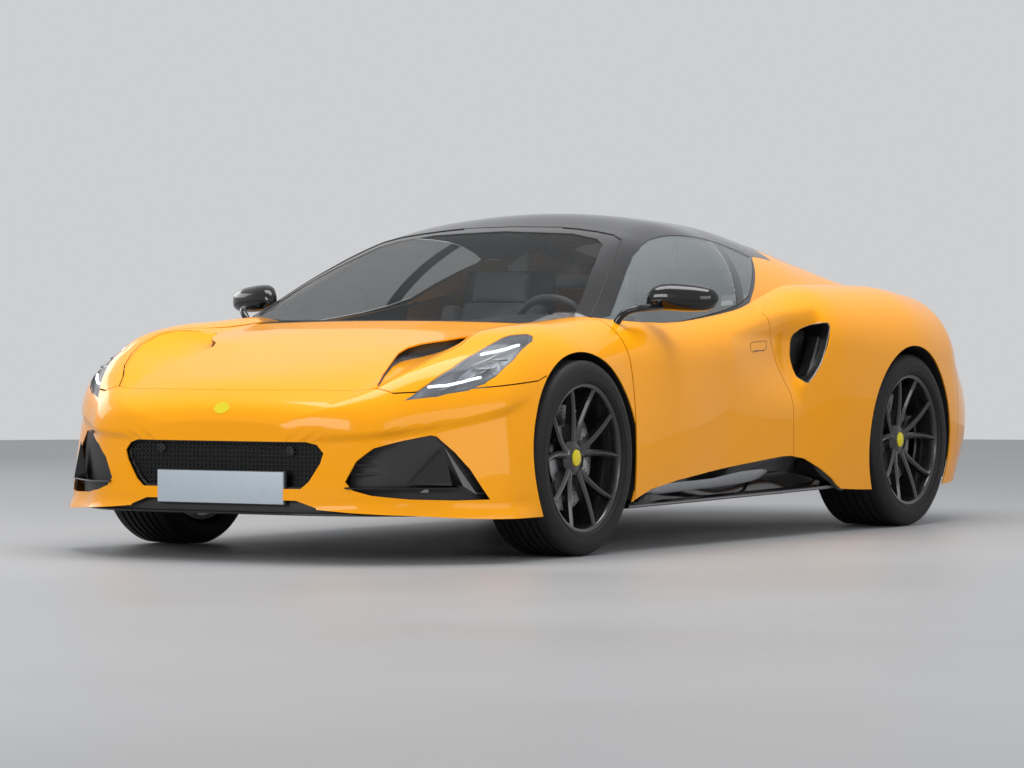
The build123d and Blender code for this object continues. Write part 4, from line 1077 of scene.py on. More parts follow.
class COUPE_OT_stage(CoupeOperator):
    """Builds the floor, the backdrop, the studio lights and the camera"""

    bl_idname = "coupe.stage"
    bl_label = "Stage"

    def execute(self, context):
        scene, sizes = context.scene, context.scene.coupe_sizes
        self.floor(tuple(scene.coupe_colors.floor))
        scene.world = self.sky(scene.coupe_colors.backdrop)
        for name, place, target, size, share in PANELS:
            area_light(name, place, target, size, sizes.key_light * share)
        camera = bpy.data.objects.new("camera", bpy.data.cameras.new("camera"))
        scene.collection.objects.link(camera)
        camera.data.sensor_width = 36.0
        camera.data.lens = sizes.lens
        camera.data.clip_end = 300.0
        camera.location = sizes.eye
        camera.rotation_euler = Vector(sizes.look).to_track_quat("-Z", "Y").to_euler()
        scene.camera = camera
        scene.view_settings.view_transform = "Standard"
        return {"FINISHED"}

    def floor(self, tone):
        turns = around(256)
        rim = [(FLOOR_RADIUS * math.cos(a), FLOOR_RADIUS * math.sin(a), 0) for a in turns]
        floor = mesh_from("studio_floor", rim, [tuple(range(len(rim)))])
        shader = Shader("studio_floor", tone, 0.45)
        cloud = shader.noise(0.6, 3.0).over(0.3, 0.7)
        darker, lighter = tuple(c * 0.97 for c in tone), tuple(min(1, c * 1.03) for c in tone)
        shader.set("Base Color", shader.tint(cloud, darker, lighter))
        shader.set("Roughness", cloud * 0.08 + 0.42)
        floor.data.materials.append(shader.material)

    def sky(self, backdrop):
        """A world that lights the car from above and shows the even backdrop."""
        world = bpy.data.worlds.new("studio")
        world.use_nodes = True
        tree = world.node_tree
        tree.nodes.clear()
        out = tree.nodes.new("ShaderNodeOutputWorld")
        light, seen, mix = (tree.nodes.new(k) for k in
                            ("ShaderNodeBackground", "ShaderNodeBackground", "ShaderNodeMixShader"))
        place = tree.nodes.new("ShaderNodeTexCoord")
        split = tree.nodes.new("ShaderNodeSeparateXYZ")
        rise = tree.nodes.new("ShaderNodeMapRange")
        for socket, value in zip((1, 3, 2, 4), (*SKY_LOW, *SKY_HIGH)):
            rise.inputs[socket].default_value = value
        tree.links.new(place.outputs["Generated"], split.inputs[0])
        tree.links.new(split.outputs["Z"], rise.inputs[0])
        tree.links.new(rise.outputs[0], light.inputs["Strength"])
        light.inputs["Color"].default_value = SKY_TONE
        seen.inputs["Color"].default_value = (*backdrop, 1)
        ray = tree.nodes.new("ShaderNodeLightPath")
        shown = ray.outputs["Is Camera Ray"]
        for kind in ("Is Glossy Ray", "Is Transmission Ray"):
            either = tree.nodes.new("ShaderNodeMath")
            either.operation = "MAXIMUM"
            tree.links.new(shown, either.inputs[0])
            tree.links.new(ray.outputs[kind], either.inputs[1])
            shown = either.outputs[0]
        tree.links.new(shown, mix.inputs[0])
        tree.links.new(light.outputs[0], mix.inputs[1])
        tree.links.new(seen.outputs[0], mix.inputs[2])
        tree.links.new(mix.outputs[0], out.inputs["Surface"])
        return world


# ---------------------------------------------------------------- painted panels
class COUPE_OT_hood(CoupeOperator):
    """Builds the hood with its two vent troughs"""

    bl_idname = "coupe.hood"
    bl_label = "Hood"

    def execute(self, context):
        skin = body()
        piece = skin.shell(SKIN, HOOD_REAR_X - 10, HOOD_NOSE_X + 30)
        boolean(piece, [plan_prism(hood_outline(-GAP), 480, ABOVE)], "INTERSECT")
        vent = [*VENT_INNER, *reversed(VENT_OUTER)]
        holes = (vent, mirrored_y(vent), *lamp_holes())
        boolean(piece, [plan_prism(hole, UNDER_HOOD, ABOVE) for hole in holes], "DIFFERENCE")
        skin.polish(piece)
        dress(piece, "hood_panel", "hood_body", ["hood"], "paint")
        for side, word in SIDES:
            self.vent(side, word)
        return {"FINISHED"}

    def vent(self, side, word):
        """A painted trough, deepest at its inner edge, and the dark wall under that edge."""
        floor, wall = [], []
        for (xi, yi), (xo, yo), depth in zip(VENT_INNER, VENT_OUTER, VENT_DEPTH):
            zi, zo = on_skin(xi, yi), on_skin(xo, yo)
            inner = np.array([xi, yi + 6, zi - depth - SKIN])
            outer = np.array([xo, yo + 2, zo - 3])
            sag = 10 * min(1, depth / 20)
            floor.append([inner * (1 - t) + outer * t - [0, 0, sag * math.sin(math.pi * t)]
                          for t in np.linspace(0, 1, 9)])
            wall.append([(xi, yi - 1, zi - 1.5), (xi, yi - 14, zi - depth * 0.6 - 2), tuple(inner - [0, 0, 1])])
        trough = smooth(ribbon(np.array(floor) * [1, side, 1], 2.0), 60)
        dress(trough, f"hood_vent_trough_{word}", "hood_body", (), "paint")
        mouth = smooth(ribbon(np.array(wall) * [1, side, 1], 2.0), 60)
        trim(mouth, f"hood_vent_mouth_{word}", body_name="hood_body")


def lamp_holes():
    """Plan outlines of both head lamps' openings."""
    lamp = grown(HEADLAMP, 1.0)
    return lamp, mirrored_y(lamp)


def on_skin(x, y, skin=None):
    """Height of the skin's upper surface at a place in plan, in millimetres."""
    skin = skin or body()
    hit, *_ = skin.tree.ray_cast(Vector((x * 0.001, y * 0.001, 3.0)), Vector((0, 0, -1)))
    if hit is None:
        raise ValueError(f"no skin over x {x}, y {y}")
    return hit.z * 1000.0


def ribbon(rows, thickness):
    """A smooth sheet through rows of points, given a thickness downwards or inwards, in millimetres."""
    rows = np.array(rows, float)
    normal = np.cross(np.gradient(rows, axis=0), np.gradient(rows, axis=1))
    normal /= np.maximum(np.linalg.norm(normal, axis=2, keepdims=True), 1e-9)
    points = np.vstack([rows.reshape(-1, 3), (rows - normal * thickness).reshape(-1, 3)])
    return mesh_from("ribbon", points, sheet_faces(*rows.shape[:2]))


def tube(points, radius, closed=False, sides=10):
    """A round bar along points, in millimetres."""
    points = np.array(points, float)
    count = len(points)
    tangent = np.gradient(points, axis=0)
    if closed:
        tangent = np.roll(points, -1, axis=0) - np.roll(points, 1, axis=0)
    verts = []
    for p, t in zip(points, tangent):
        t = t / np.linalg.norm(t)
        up = np.array([0, 0, 1.0]) if abs(t[2]) < 0.9 else np.array([1.0, 0, 0])
        a = np.cross(t, up)
        a /= np.linalg.norm(a)
        b = np.cross(t, a)
        for k in range(sides):
            angle = math.tau * k / sides
            verts.append(p + radius * (a * math.cos(angle) + b * math.sin(angle)))
    rows = count + 1 if closed else count
    faces = [tuple(v % (count * sides) for v in f) for f in grid_faces(rows, sides, closed=True)]
    if not closed:
        faces += [tuple(range(sides)), tuple(range((count - 1) * sides, count * sides))]
    return smooth(mesh_from("tube", verts, faces), 50)


class COUPE_OT_panels(CoupeOperator):
    """Builds the painted bumpers, fenders, quarters and doors"""

    bl_idname = "coupe.panels"
    bl_label = "Painted panels"

    def execute(self, context):
        skin = body()
        self.front_bumper(skin)
        self.fenders(skin)
        self.doors(skin)
        self.quarters(skin)
        self.rear_bumper(skin)
        return {"FINISHED"}

    def front_bumper(self, skin):
        piece = skin.shell(SKIN, FRONT_AXLE_X + 200, NOSE_X + 10)
        boolean(piece, [prism(bumper_outline(-GAP), 1, -FAR, FAR)], "INTERSECT")
        # The gap to the hood is tight across the nose and as wide as the others along its sides.
        edge = [near if near[0] > 2050 else wide for near, wide in zip(hood_outline(0.2), hood_outline(GAP))]
        cutters = [plan_prism(edge, 470, ABOVE)]
        cutters += [plan_prism(hole, UNDER_HOOD, ABOVE) for hole in lamp_holes()]
        cutters += [front_prism(mirrored_loop([*LIP_LOW, (960, BELOW)]), 1800, AHEAD)]
        cutters += [front_prism(mirrored_loop(half), NOSE_X - 200, AHEAD) for half in (GRILLE_HALF, LIP_HALF)]
        cutters += [front_prism(hole, 1800, AHEAD) for hole in (INTAKE, mirrored_front(INTAKE))]
        cutters += [disc_prism(FRONT_AXLE_X, FRONT_ARCH_Z, FRONT_ARCH_R, -FAR, FAR)]
        cutters += [box_prism(NOSE_X - 100, AHEAD, -250, 250, 192, 300)]
        boolean(piece, cutters, "DIFFERENCE")
        skin.polish(piece)
        dress(piece, "front_bumper_panel", "body", ["front_bumper"], "paint")

    def fenders(self, skin):
        piece = skin.shell(SKIN, DOOR_FRONT_X, NOSE_X - 60, left_only=True)
        edge = bumper_outline(GAP)[1:-1]
        rear_x = DOOR_FRONT_X + 2 * GAP
        region = [(rear_x, BELOW), (rear_x, ABOVE), (edge[-1][0], ABOVE), *reversed(edge), (edge[0][0], BELOW)]
        boolean(piece, [side_prism(region, 300)], "INTERSECT")
        cowl = [(x if x > HOOD_REAR_X + 10 else 700.0, y) for x, y in hood_outline(GAP)]
        cutters = [plan_prism(cowl, 470, ABOVE), plan_prism(lamp_holes()[0], UNDER_HOOD, ABOVE)]
        cutters += [disc_prism(FRONT_AXLE_X, FRONT_ARCH_Z, FRONT_ARCH_R, 400, FAR)]
        cutters += [side_prism(rocker_outline(), 400)]
        boolean(piece, cutters, "DIFFERENCE")
        twin(piece, skin, "fender_panel_left", "body", "paint", ["fender_left"])

    def doors(self, skin):
        piece = skin.shell(SKIN, DOOR_REAR_X - 20, DOOR_FRONT_X + 10, left_only=True)
        boolean(piece, [side_prism(door_outline(-GAP), 560)], "INTERSECT")
        cutters = [side_prism(rocker_outline(), 400), house_solid(2.0), side_prism(grown(SCOOP, 1.0), 600)]
        boolean(piece, cutters, "DIFFERENCE")
        twin(piece, skin, "door_panel_left", "door_left_body", "paint", ["door_left"])

    def quarters(self, skin):
        piece = skin.shell(SKIN, TAIL_X - 10, DOOR_FRONT_X, left_only=True)
        boolean(piece, [box_prism(TAILGATE_REAR_X, DOOR_FRONT_X, 0, FAR, 0, ABOVE)], "INTERSECT")
        bumper = [(BEHIND, BELOW), *REAR_SEAM, (BEHIND, REAR_SEAM[-1][1])]
        cutters = [side_prism(door_outline(GAP), 400), side_prism(rocker_outline(), 400)]
        cutters += [disc_prism(REAR_AXLE_X, REAR_ARCH_Z, REAR_ARCH_R, 400, FAR), side_prism(grown(SCOOP, 1.0), 500)]
        cutters += [house_solid(1.0), side_prism(grown(bumper, GAP), -10)]
        boolean(piece, cutters, "DIFFERENCE")
        twin(piece, skin, "quarter_panel_left", "body", "paint", ["quarter_left"])

    def rear_bumper(self, skin):
        piece = skin.shell(SKIN, TAIL_X - 10, -1700)
        region = [(BEHIND, BELOW), *REAR_SEAM, (TAILGATE_REAR_X, REAR_SEAM[-1][1]), (TAILGATE_REAR_X, 1000),
                  (BEHIND, 1000)]
        boolean(piece, [prism(grown(region, -GAP), 1, -FAR, FAR)], "INTERSECT")
        cutters = [front_prism(hole, BEHIND, TAILGATE_REAR_X + 40) for hole in (TAIL_LAMP, mirrored_front(TAIL_LAMP))]
        cutters += [front_prism(mirrored_loop(TAIL_PANEL), BEHIND, TAIL_X + 90), house_solid(1.0)]
        diffuser = [(-640, BELOW), (-600, DIFFUSER_Z), (600, DIFFUSER_Z), (640, BELOW)]
        cutters += [front_prism(diffuser, BEHIND, TAIL_X + 400)]
        cutters += [disc_prism(REAR_AXLE_X, REAR_ARCH_Z, REAR_ARCH_R, -FAR, FAR)]
        boolean(piece, cutters, "DIFFERENCE")
        skin.polish(piece)
        dress(piece, "rear_bumper_panel", "body", ["rear_bumper"], "paint")


# ---------------------------------------------------------------- greenhouse
WINDSCREEN_HALF = [
    (0, 780), (736, 780), (733, 815), (688, 891), (646, 961), (578, 1054), (522, 1114), (463, 1134),
    (384, 1147), (286, 1159), (199, 1166), (0, 1170),
]
# The clear part of the windscreen inside its black band.
CLEAR_HALF = [
    (0, 802), (686, 802), (687, 822), (652, 884), (612, 946), (552, 1024), (486, 1095), (430, 1118), (300, 1140),
    (0, 1152),
]
# Side view of the edge between the black roof and the painted buttresses, (x, z).
BUTTRESS = [
    (-2500, 1300), (-745, 1300), (-745, 1049), (-685, 1054), (-599, 1061), (-554, 1062), (-520, 1057), (-480, 1036),
    (-300, 935), (-200, 885), (-120, 850), (-120, 700), (-2500, 700),
]
GATE_HALF_WIDTH = 492.0
GATE_TAPER = 50.0
GATE_PANE = [(TAILGATE_FRONT_X - 90, 400), (TAIL_X + 760, 380), (TAIL_X + 760, -380), (TAILGATE_FRONT_X - 90, -400)]
OVER_TAIL = 1400.0  # above the greenhouse, for cuts from above


def gate_outline(by=0.0):
    narrow = GATE_HALF_WIDTH - GATE_TAPER
    line = [(TAILGATE_FRONT_X, GATE_HALF_WIDTH), (TAILGATE_REAR_X, narrow), (TAILGATE_REAR_X, -narrow),
            (TAILGATE_FRONT_X, -GATE_HALF_WIDTH)]
    return grown(line, by)


def windscreen_outline(by=0.0):
    return grown(mirrored_loop(WINDSCREEN_HALF), by)


def window_outline(by=0.0):
    return grown([*BELT_LINE, *WINDOW_TOP], by)


def behind_split(shift):
    (x0, z0), (x1, z1) = WINDOW_SPLIT
    lean = (x1 - x0) / (z1 - z0)
    low, high = x0 + shift + lean * (600 - z0), x0 + shift + lean * (1400 - z0)
    return [(low, 600), (high, 1400), (-2600, 1400), (-2600, 600)]


class COUPE_OT_greenhouse(CoupeOperator):
    """Builds the roof, the windows and the tailgate"""

    bl_idname = "coupe.greenhouse"
    bl_label = "Roof and glass"

    def execute(self, context):
        skin = house()
        self.roof(skin)
        self.windscreen(skin)
        self.side_windows(skin)
        self.seals(skin)
        self.tailgate(skin)
        return {"FINISHED"}

    def roof(self, skin):
        roof = skin.shell(SKIN)
        front, rear = TAILGATE_FRONT_X + 5, TAILGATE_FRONT_X - 20
        cutters = [front_prism(windscreen_outline(1.5), 150, ABOVE)]
        cutters += [side_prism(window_outline(1.5), 300), side_prism(window_outline(1.5), -FAR, -300)]
        cutters += [plan_prism(gate_outline(GAP), 800, OVER_TAIL)]
        cutters += [plan_prism([(front, 470), (rear, 470), (rear, -470), (front, -470)], 800, OVER_TAIL)]
        boolean(roof, cutters, "DIFFERENCE")
        boolean(roof, [body_block()], "DIFFERENCE")
        buttress = copy_of(roof, "buttress")
        boolean(buttress, [prism(BUTTRESS, 1, -FAR, FAR)], "INTERSECT")
        boolean(roof, [prism(grown(BUTTRESS, 0.8), 1, -FAR, FAR)], "DIFFERENCE")
        dress(skin.polish(roof), "roof_panel", "body", ["roof"], "gloss_black")
        dress(skin.polish(buttress), "buttress_panel", "body", ["roof"], "paint")

    def windscreen(self, skin):
        glass = skin.shell(4.0, -300, HOUSE_SKIN[0][0], depth=1.0)
        boolean(glass, [front_prism(windscreen_outline(-1.0), 150, ABOVE)], "INTERSECT")
        boolean(glass, [body_block()], "DIFFERENCE")
        band = copy_of(glass, "band")
        boolean(glass, [front_prism(grown(mirrored_loop(CLEAR_HALF), 0.5), 100, OVER_TAIL)], "INTERSECT")
        boolean(band, [front_prism(mirrored_loop(CLEAR_HALF), 100, OVER_TAIL)], "DIFFERENCE")
        dress(skin.polish(glass), "windscreen_glass", "body", ["windscreen"], "window")
        dress(skin.polish(band), "windscreen_band", "body", (), "gloss_black")

    def side_windows(self, skin):
        """The door's glass, the quarter window behind it and the dark cover of the pillar between them."""
        side = skin.shell(4.0, -900, 1000, left_only=True, depth=1.0)
        boolean(side, [side_prism(window_outline(-1.0), 300)], "INTERSECT")
        rear = copy_of(side, "rear")
        boolean(side, [side_prism(behind_split(3.0), 0)], "DIFFERENCE")
        boolean(rear, [side_prism(behind_split(-3.0), 0)], "INTERSECT")
        boolean(rear, [body_block()], "DIFFERENCE")
        pillar = copy_of(rear, "pillar")
        boolean(rear, [side_prism(behind_split(-PILLAR_COVER), 0)], "INTERSECT")
        boolean(pillar, [side_prism(behind_split(-PILLAR_COVER), 0)], "DIFFERENCE")
        boolean(side, [body_block()], "DIFFERENCE")
        twin(side, skin, "door_window_left", "door_left_body", "side_window", ["door_glass_left"])
        twin(rear, skin, "quarter_window_left", "body", "side_window", ["quarter_windows"])
        twin(pillar, skin, "pillar_cover_left", "body", "gloss_black", [])

    def seals(self, skin):
        seals = []
        for outline in (WINDSCREEN_HALF[2:-1], mirrored_front(WINDSCREEN_HALF[2:-1])):
            line = []
            for (y0, z0), (y1, z1) in zip(outline, outline[1:]):
                for t in np.linspace(0, 1, 6)[:-1]:
                    y, z = y0 + (y1 - y0) * t, z0 + (z1 - z0) * t
                    hit = skin.tree.ray_cast(Vector((3, y * 0.001, z * 0.001)), Vector((-1, 0, 0)))[0]
                    if hit is not None and hit.z * 1000 > SEAL_FOOT:
                        line.append(hit * 1000)
            seals.append(tube(line, 2.6, sides=6))
        trim(joined("seals", seals), "windscreen_seal")

    def tailgate(self, skin):
        gate = skin.shell(8.0, TAIL_X, TAILGATE_FRONT_X + 20)
        boolean(gate, [plan_prism(gate_outline(-GAP), 800, OVER_TAIL)], "INTERSECT")
        pane = eased(GATE_PANE, 2, 0.08)
        boolean(gate, [plan_prism(pane, 800, OVER_TAIL)], "DIFFERENCE")
        dress(skin.polish(gate), "tailgate_panel", "tailgate_body", ["tailgate"], "gloss_black")
        window = skin.shell(4.0, -1700, TAILGATE_FRONT_X, depth=1.5)
        boolean(window, [plan_prism(grown(pane, -1.0), 800, OVER_TAIL)], "INTERSECT")
        dress(skin.polish(window), "rear_window_glass", "tailgate_body", ["rear_window"], "dark_window")


def body_block():
    """The body as one solid, a little under its skin, to cut the greenhouse back from it."""
    skin = body()
    grid = skin.grid - skin.normals * 0.001
    rows, columns = grid.shape[:2]
    faces = grid_faces(rows, columns, closed=True)
    faces += [tuple(range(columns - 1, -1, -1)), tuple(range((rows - 1) * columns, rows * columns))]
    return mesh_from("body_block", grid.reshape(-1, 3), faces, scale=1.0)


# ---------------------------------------------------------------- front details
# Lines of the head lamp in plan.
LAMP_BARS = (
    [(1957, 676), (1916, 721), (1869, 759), (1812, 798)],
    [(1733, 750), (1685, 777), (1632, 797), (1574, 806)],
)
LAMP_BAR_DEPTH = 10.0
# Fins behind the bars: line in plan, and depth under the skin.
LAMP_FINS = (
    ([(1930, 708), (1880, 742), (1800, 780), (1720, 805)], 22.0),
    ([(1790, 748), (1720, 772), (1640, 788), (1560, 794)], 20.0),
)
LAMP_PODS = ((1770, 786, 22.0), (1690, 800, 22.0))  # x, y, radius
CELL_PITCH = (16.0, 13.4)
MESH_HALF = [(0, 404), (344, 404), (380, 395), (401, 371), (391, 338), (352, 279), (320, 254), (0, 254)]
PARK_SENSORS = ((-268.0, 380.0, "right"), (262.0, 376.0, "left"))  # y, z
EMBLEM = [(-34, 0), (-22, 18), (0, 24), (22, 18), (34, 0), (22, -16), (0, -22), (-22, -16)]
INTAKE_BACK = [(2108, 468), (2078, 560), (2042, 640), (1950, 740), (1880, 800), (1815, 838)]
INTAKE_SLAT = [(2130, 500), (2075, 585), (1990, 690), (1915, 780), (1865, 845)]
INTAKE_BLADE = [
    [(2172, 484, 258), (2140, 484, 262)],
    [(2120, 590, 256), (2085, 580, 262)],
    [(2035, 700, 256), (2005, 685, 262)],
    [(1950, 800, 257), (1930, 780, 262)],
]
INTAKE_FIN = [(1972, 752, 392), (2052, 664, 268), (1940, 806, 262), (1908, 842, 232), (1938, 762, 262)]
# Plan of the splitter's edge: (x, inset from HALF_WIDTH).
SPLITTER_EDGE = [
    (FRONT_AXLE_X + FRONT_ARCH_R + 10, 14), (NOSE_X - 440, 15), (NOSE_X - 360, 42), (NOSE_X - 290, 105),
    (NOSE_X - 225, 172), (NOSE_X - 160, 250), (NOSE_X - 110, 310), (NOSE_X - 66, 375), (NOSE_X - 36, 450),
    (NOSE_X - 16, 545), (NOSE_X, 670),
]


class COUPE_OT_front(CoupeOperator):
    """Builds the head lamps, grilles, plate, side intakes and front splitter"""

    bl_idname = "coupe.front"
    bl_label = "Front details"

    def execute(self, context):
        skin = body()
        self.lamps(skin)
        self.grilles(skin)
        self.intakes()
        self.plate()
        self.splitter()
        return {"FINISHED"}

    def lamps(self, skin):
        lens = skin.shell(3.0, 1440, 2080, left_only=True, depth=0.8)
        boolean(lens, [plan_prism(grown(HEADLAMP, -1.0), UNDER_HOOD, ABOVE)], "INTERSECT")
        back = skin.shell(3.0, 1440, 2080, left_only=True, depth=34.0)
        boolean(back, [plan_prism(grown(HEADLAMP, 6.0), 400, ABOVE)], "INTERSECT")
        cup = skin.shell(34.0, 1440, 2080, left_only=True, depth=1.5)
        boolean(cup, [plan_prism(grown(HEADLAMP, -0.5), 400, ABOVE)], "INTERSECT")
        boolean(cup, [plan_prism(grown(HEADLAMP, -3.5), 400, ABOVE)], "DIFFERENCE")
        bars = []
        for line in LAMP_BARS:
            points = [(x, y, on_skin(x, y) - LAMP_BAR_DEPTH) for x, y in evenly(line, 24)]
            bars.append(tube(points, 4.6))
        fins = []
        for line, depth in LAMP_FINS:
            rows = []
            for x, y in evenly(line, 16):
                z = on_skin(x, y) - depth
                rows.append([(x, y, z), (x - 16, y - 10, z - 16)])
            fins.append(ribbon(rows, 2.0))
        rings = []
        for x, y, r in LAMP_PODS:
            z = on_skin(x, y) - 20
            rings.append(tube([(x + r * math.cos(a), y + r * math.sin(a), z) for a in around(32)], 4.0, closed=True))
        for piece, name, finish_name, stands_for in (
            (smooth(back, 40), "lamp_back_left", "chrome", ["headlamps"]),
            (smooth(cup, 40), "lamp_cup_left", "chrome", []),
            (joined("bars", bars), "lamp_bars_left", "light", []),
            (joined("fins", fins), "lamp_fins_left", "wing", []),
            (joined("pods", rings), "lamp_pods_left", "wing", []),
        ):
            twin(piece, None, name, "body", finish_name, stands_for)
        twin(lens, skin, "lamp_lens_left", "body", "lens", [])

    def grilles(self, skin):
        back = box_prism(NOSE_X - 62, NOSE_X - 56, -430, 430, 205, 430)
        trim(back, "grille_back", replaces=["grilles"])
        cell = front_prism(eased([(-9, 0), (-5, 6), (5, 6), (9, 0), (5, -6), (-5, -6)], 1, 0.2), -3, 3)
        hole = front_prism([(-7.2, 0), (-4, 4.4), (4, 4.4), (7.2, 0), (4, -4.4), (-4, -4.4)], -6, 6)
        boolean(cell, [hole], "DIFFERENCE")
        across, up = int(800 / CELL_PITCH[0]), int(165 / CELL_PITCH[1])
        lattice = repeat("lattice", lattice_tree(), piece=cell, across=across, up=up,
                         width=across * CELL_PITCH[0] * 0.001, height=up * CELL_PITCH[1] * 0.001,
                         material=finish("gloss_black"))
        lattice.data.transform(Matrix.Translation(((NOSE_X - 40) * 0.001, 0, 0.330)))
        trim_to(lattice, front_prism(mirrored_loop(MESH_HALF), NOSE_X - 60, NOSE_X))
        trim(lattice, "grille_mesh", None)
        rim = [(NOSE_X - 22 - 0.00018 * y * y, y * 0.996, z) for y, z in
               resampled(mirrored_loop(GRILLE_HALF), 180)]
        trim(tube(rim, 7.0, closed=True), "grille_frame")
        for y, z, word in PARK_SENSORS:
            trim(disc_x(NOSE_X - 40, y, z, 17.0, 12.0), f"park_sensor_{word}")
        place = skin.tree.ray_cast(Vector((3, 0, 0.518)), Vector((-1, 0, 0)))[0]
        blank = prism(eased(EMBLEM, 2), 0, -3.0, 1.5)
        blank.data.transform(Matrix.Rotation(math.radians(-28), 4, "Y"))
        blank.data.transform(Matrix.Translation(place))
        dress(smooth(blank, 40), "emblem_blank", "body", (), "cap")

    def intakes(self):
        for side, word in SIDES:
            turn = np.array([1, side, 1])
            rows = [[(x, y, z) for x, y in INTAKE_BACK] for z in np.linspace(432, 200, 6)]
            back = ribbon(np.array(rows) * turn, 4.0)
            trim(smooth(back, 60), f"intake_back_{word}")
            bars = []
            for z in (235, 300, 330, 360, 390):
                rows = [[(x - 10, y - 4, z + 3), (x - 34, y - 12, z + 3)] for x, y in INTAKE_SLAT]
                bars.append(ribbon(np.array(rows) * turn, 5.0))
            trim(smooth(joined("bars", bars), 50), f"intake_slats_{word}")
            trim(smooth(ribbon(np.array(INTAKE_BLADE) * turn, 5.0), 60), f"intake_blade_{word}", "gloss_black")
            fin = mesh_from("fin", np.array(INTAKE_FIN) * turn, [(0, 1, 4), (0, 4, 2), (0, 2, 3), (1, 2, 4)])
            trim(fin, f"intake_fin_{word}", "gloss_black")

    def plate(self):
        x = NOSE_X - 10
        piece = box_prism(x - 3, x + 6, -258, 258, 197, 306)
        bevelled(piece, 2.0)
        dress(piece, "plate_blank", "body", ["number_plate"], "plate")
        holder = box_prism(x - 16, x - 3, -262, 262, 193, 310)
        trim(bevelled(holder, 3.0), "plate_holder")

    def splitter(self):
        low = [(x, HALF_WIDTH - sill) for x, sill in SPLITTER_EDGE]
        outline = [*low, *mirrored_y(reversed(low))]
        blade = plan_prism(grown(outline, -24.0), 160, 168)
        trim(bevelled(blade, 2.5), "splitter_blade", "gloss_black", replaces=["front_splitter"])
        lip = plan_prism(grown(outline, -34.0), 168, 212)
        boolean(lip, [box_prism(0, 1990, -FAR, FAR, 100, 300)], "DIFFERENCE")
        trim(bevelled(lip, 2.0), "splitter_riser")


def resampled(points, count):
    """An outline's points at even steps round it."""
    loop = np.array([*points, points[0]], float)
    length = np.concatenate([[0], np.cumsum(np.linalg.norm(np.diff(loop, axis=0), axis=1))])
    at = np.linspace(0, length[-1], count + 1)[:-1]
    return np.stack([np.interp(at, length, loop[:, k]) for k in range(loop.shape[1])], axis=1)


def trim_to(piece, region):
    """Drops the faces of a piece whose middles lie outside a closed region, then the region."""
    shape = bmesh.new()
    shape.from_mesh(piece.data)
    cut = bmesh.new()
    cut.from_mesh(region.data)
    tree = BVHTree.FromBMesh(cut)
    outside = []
    seen = set()
    for start in shape.faces:
        if start in seen:
            continue
        island, queue = [], [start]
        seen.add(start)
        while queue:
            face = queue.pop()
            island.append(face)
            for edge in face.edges:
                for other in edge.link_faces:
                    if other not in seen:
                        seen.add(other)
                        queue.append(other)
        middle = sum((f.calc_center_median() for f in island), Vector()) / len(island)
        crossings, place = 0, middle.copy()
        while True:
            hit = tree.ray_cast(place, Vector((0.01, 0.02, 1)))[0]
            if hit is None:
                break
            crossings += 1
            place = hit + Vector((0.01, 0.02, 1)).normalized() * 1e-5
        if crossings % 2 == 0:
            outside += island
    bmesh.ops.delete(shape, geom=outside, context="FACES")
    shape.to_mesh(piece.data)
    shape.free()
    cut.free()
    discard(region)
    return piece


def bevelled(piece, width):
    """The piece with its edges rounded, width in millimetres."""
    modifier = piece.modifiers.new("bevel", "BEVEL")
    modifier.width = width * 0.001
    modifier.segments = 3
    modifier.limit_method = "ANGLE"
    apply_modifiers(piece)
    return smooth(piece, 40)


def disc_x(x, y, z, radius, depth):
    """A short round puck along X, in millimetres."""
    ring = [(y + radius * math.cos(a), z + radius * math.sin(a)) for a in around(48)]
    return bevelled(prism(ring, 0, x - depth, x), 1.5)


# ---------------------------------------------------------------- wheels
# Sections of (offset from the outer face inwards, radius).
RIM_SECTION = [(0, 257), (0, 250), (3, 246), (9, 243), (30, 240), (70, 236)]
BOLT_SECTION = [(0, 0.4), (0, 7), (2, 8.5), (14, 8.5), (14, 0.4)]
BOLT_CIRCLE = 0.046  # radius, in metres
DISC_SECTION = [
    (0, 118), (0, 182), (1.5, 184), (11, 184), (11, 178), (19, 178), (19, 184), (28.5, 184), (30, 182), (30, 118),
    (26, 112), (4, 112),
]
BELL_SECTION = [(-6, 64), (-6, 108), (-2, 116), (12, 118), (12, 64)]
# Section of a dark plug on the disc's face: painted shade where a drilled hole is.
HOLE_SHADE_SECTION = [(-0.6, 0.3), (-0.6, 3.6), (1.5, 3.6), (1.5, 0.3)]
HOLE_CIRCLES = ((132, 0.0), (146, 0.5), (160, 1.0), (173, 1.5))  # radius, and turn in steps of 5 degrees
CALIPER_SECTION = [
    (-34, 136), (-34, 192), (-28, 204), (28, 204), (34, 192), (34, 136), (20, 130), (20, 188), (-20, 188), (-20, 130),
]
EDGE_TILT = (0.35, 0.93)  # a spoke's bevels that get the grey painted highlight, by how far their normals lean to the axle
SPOKE_STEPS = 14
TREAD_GROOVES = (0.76, 0.46, 0.16, -0.16, -0.46, -0.76)  # as shares of the tread's half width


def turned(name, section, x, y, z, side, count=128):
    """A surface turned about the axle from (inward offset, radius) pairs. y is the outer face."""
    points = []
    for offset, r in section:
        for a in around(count):
            points.append((x + r * math.cos(a), y - side * offset, z + r * math.sin(a)))
    last = (len(section) - 1) * count
    faces = grid_faces(len(section), count, closed=True)
    faces += [(last + k, last + (k + 1) % count, (k + 1) % count, k) for k in range(count)]
    return mesh_from(name, points, faces)


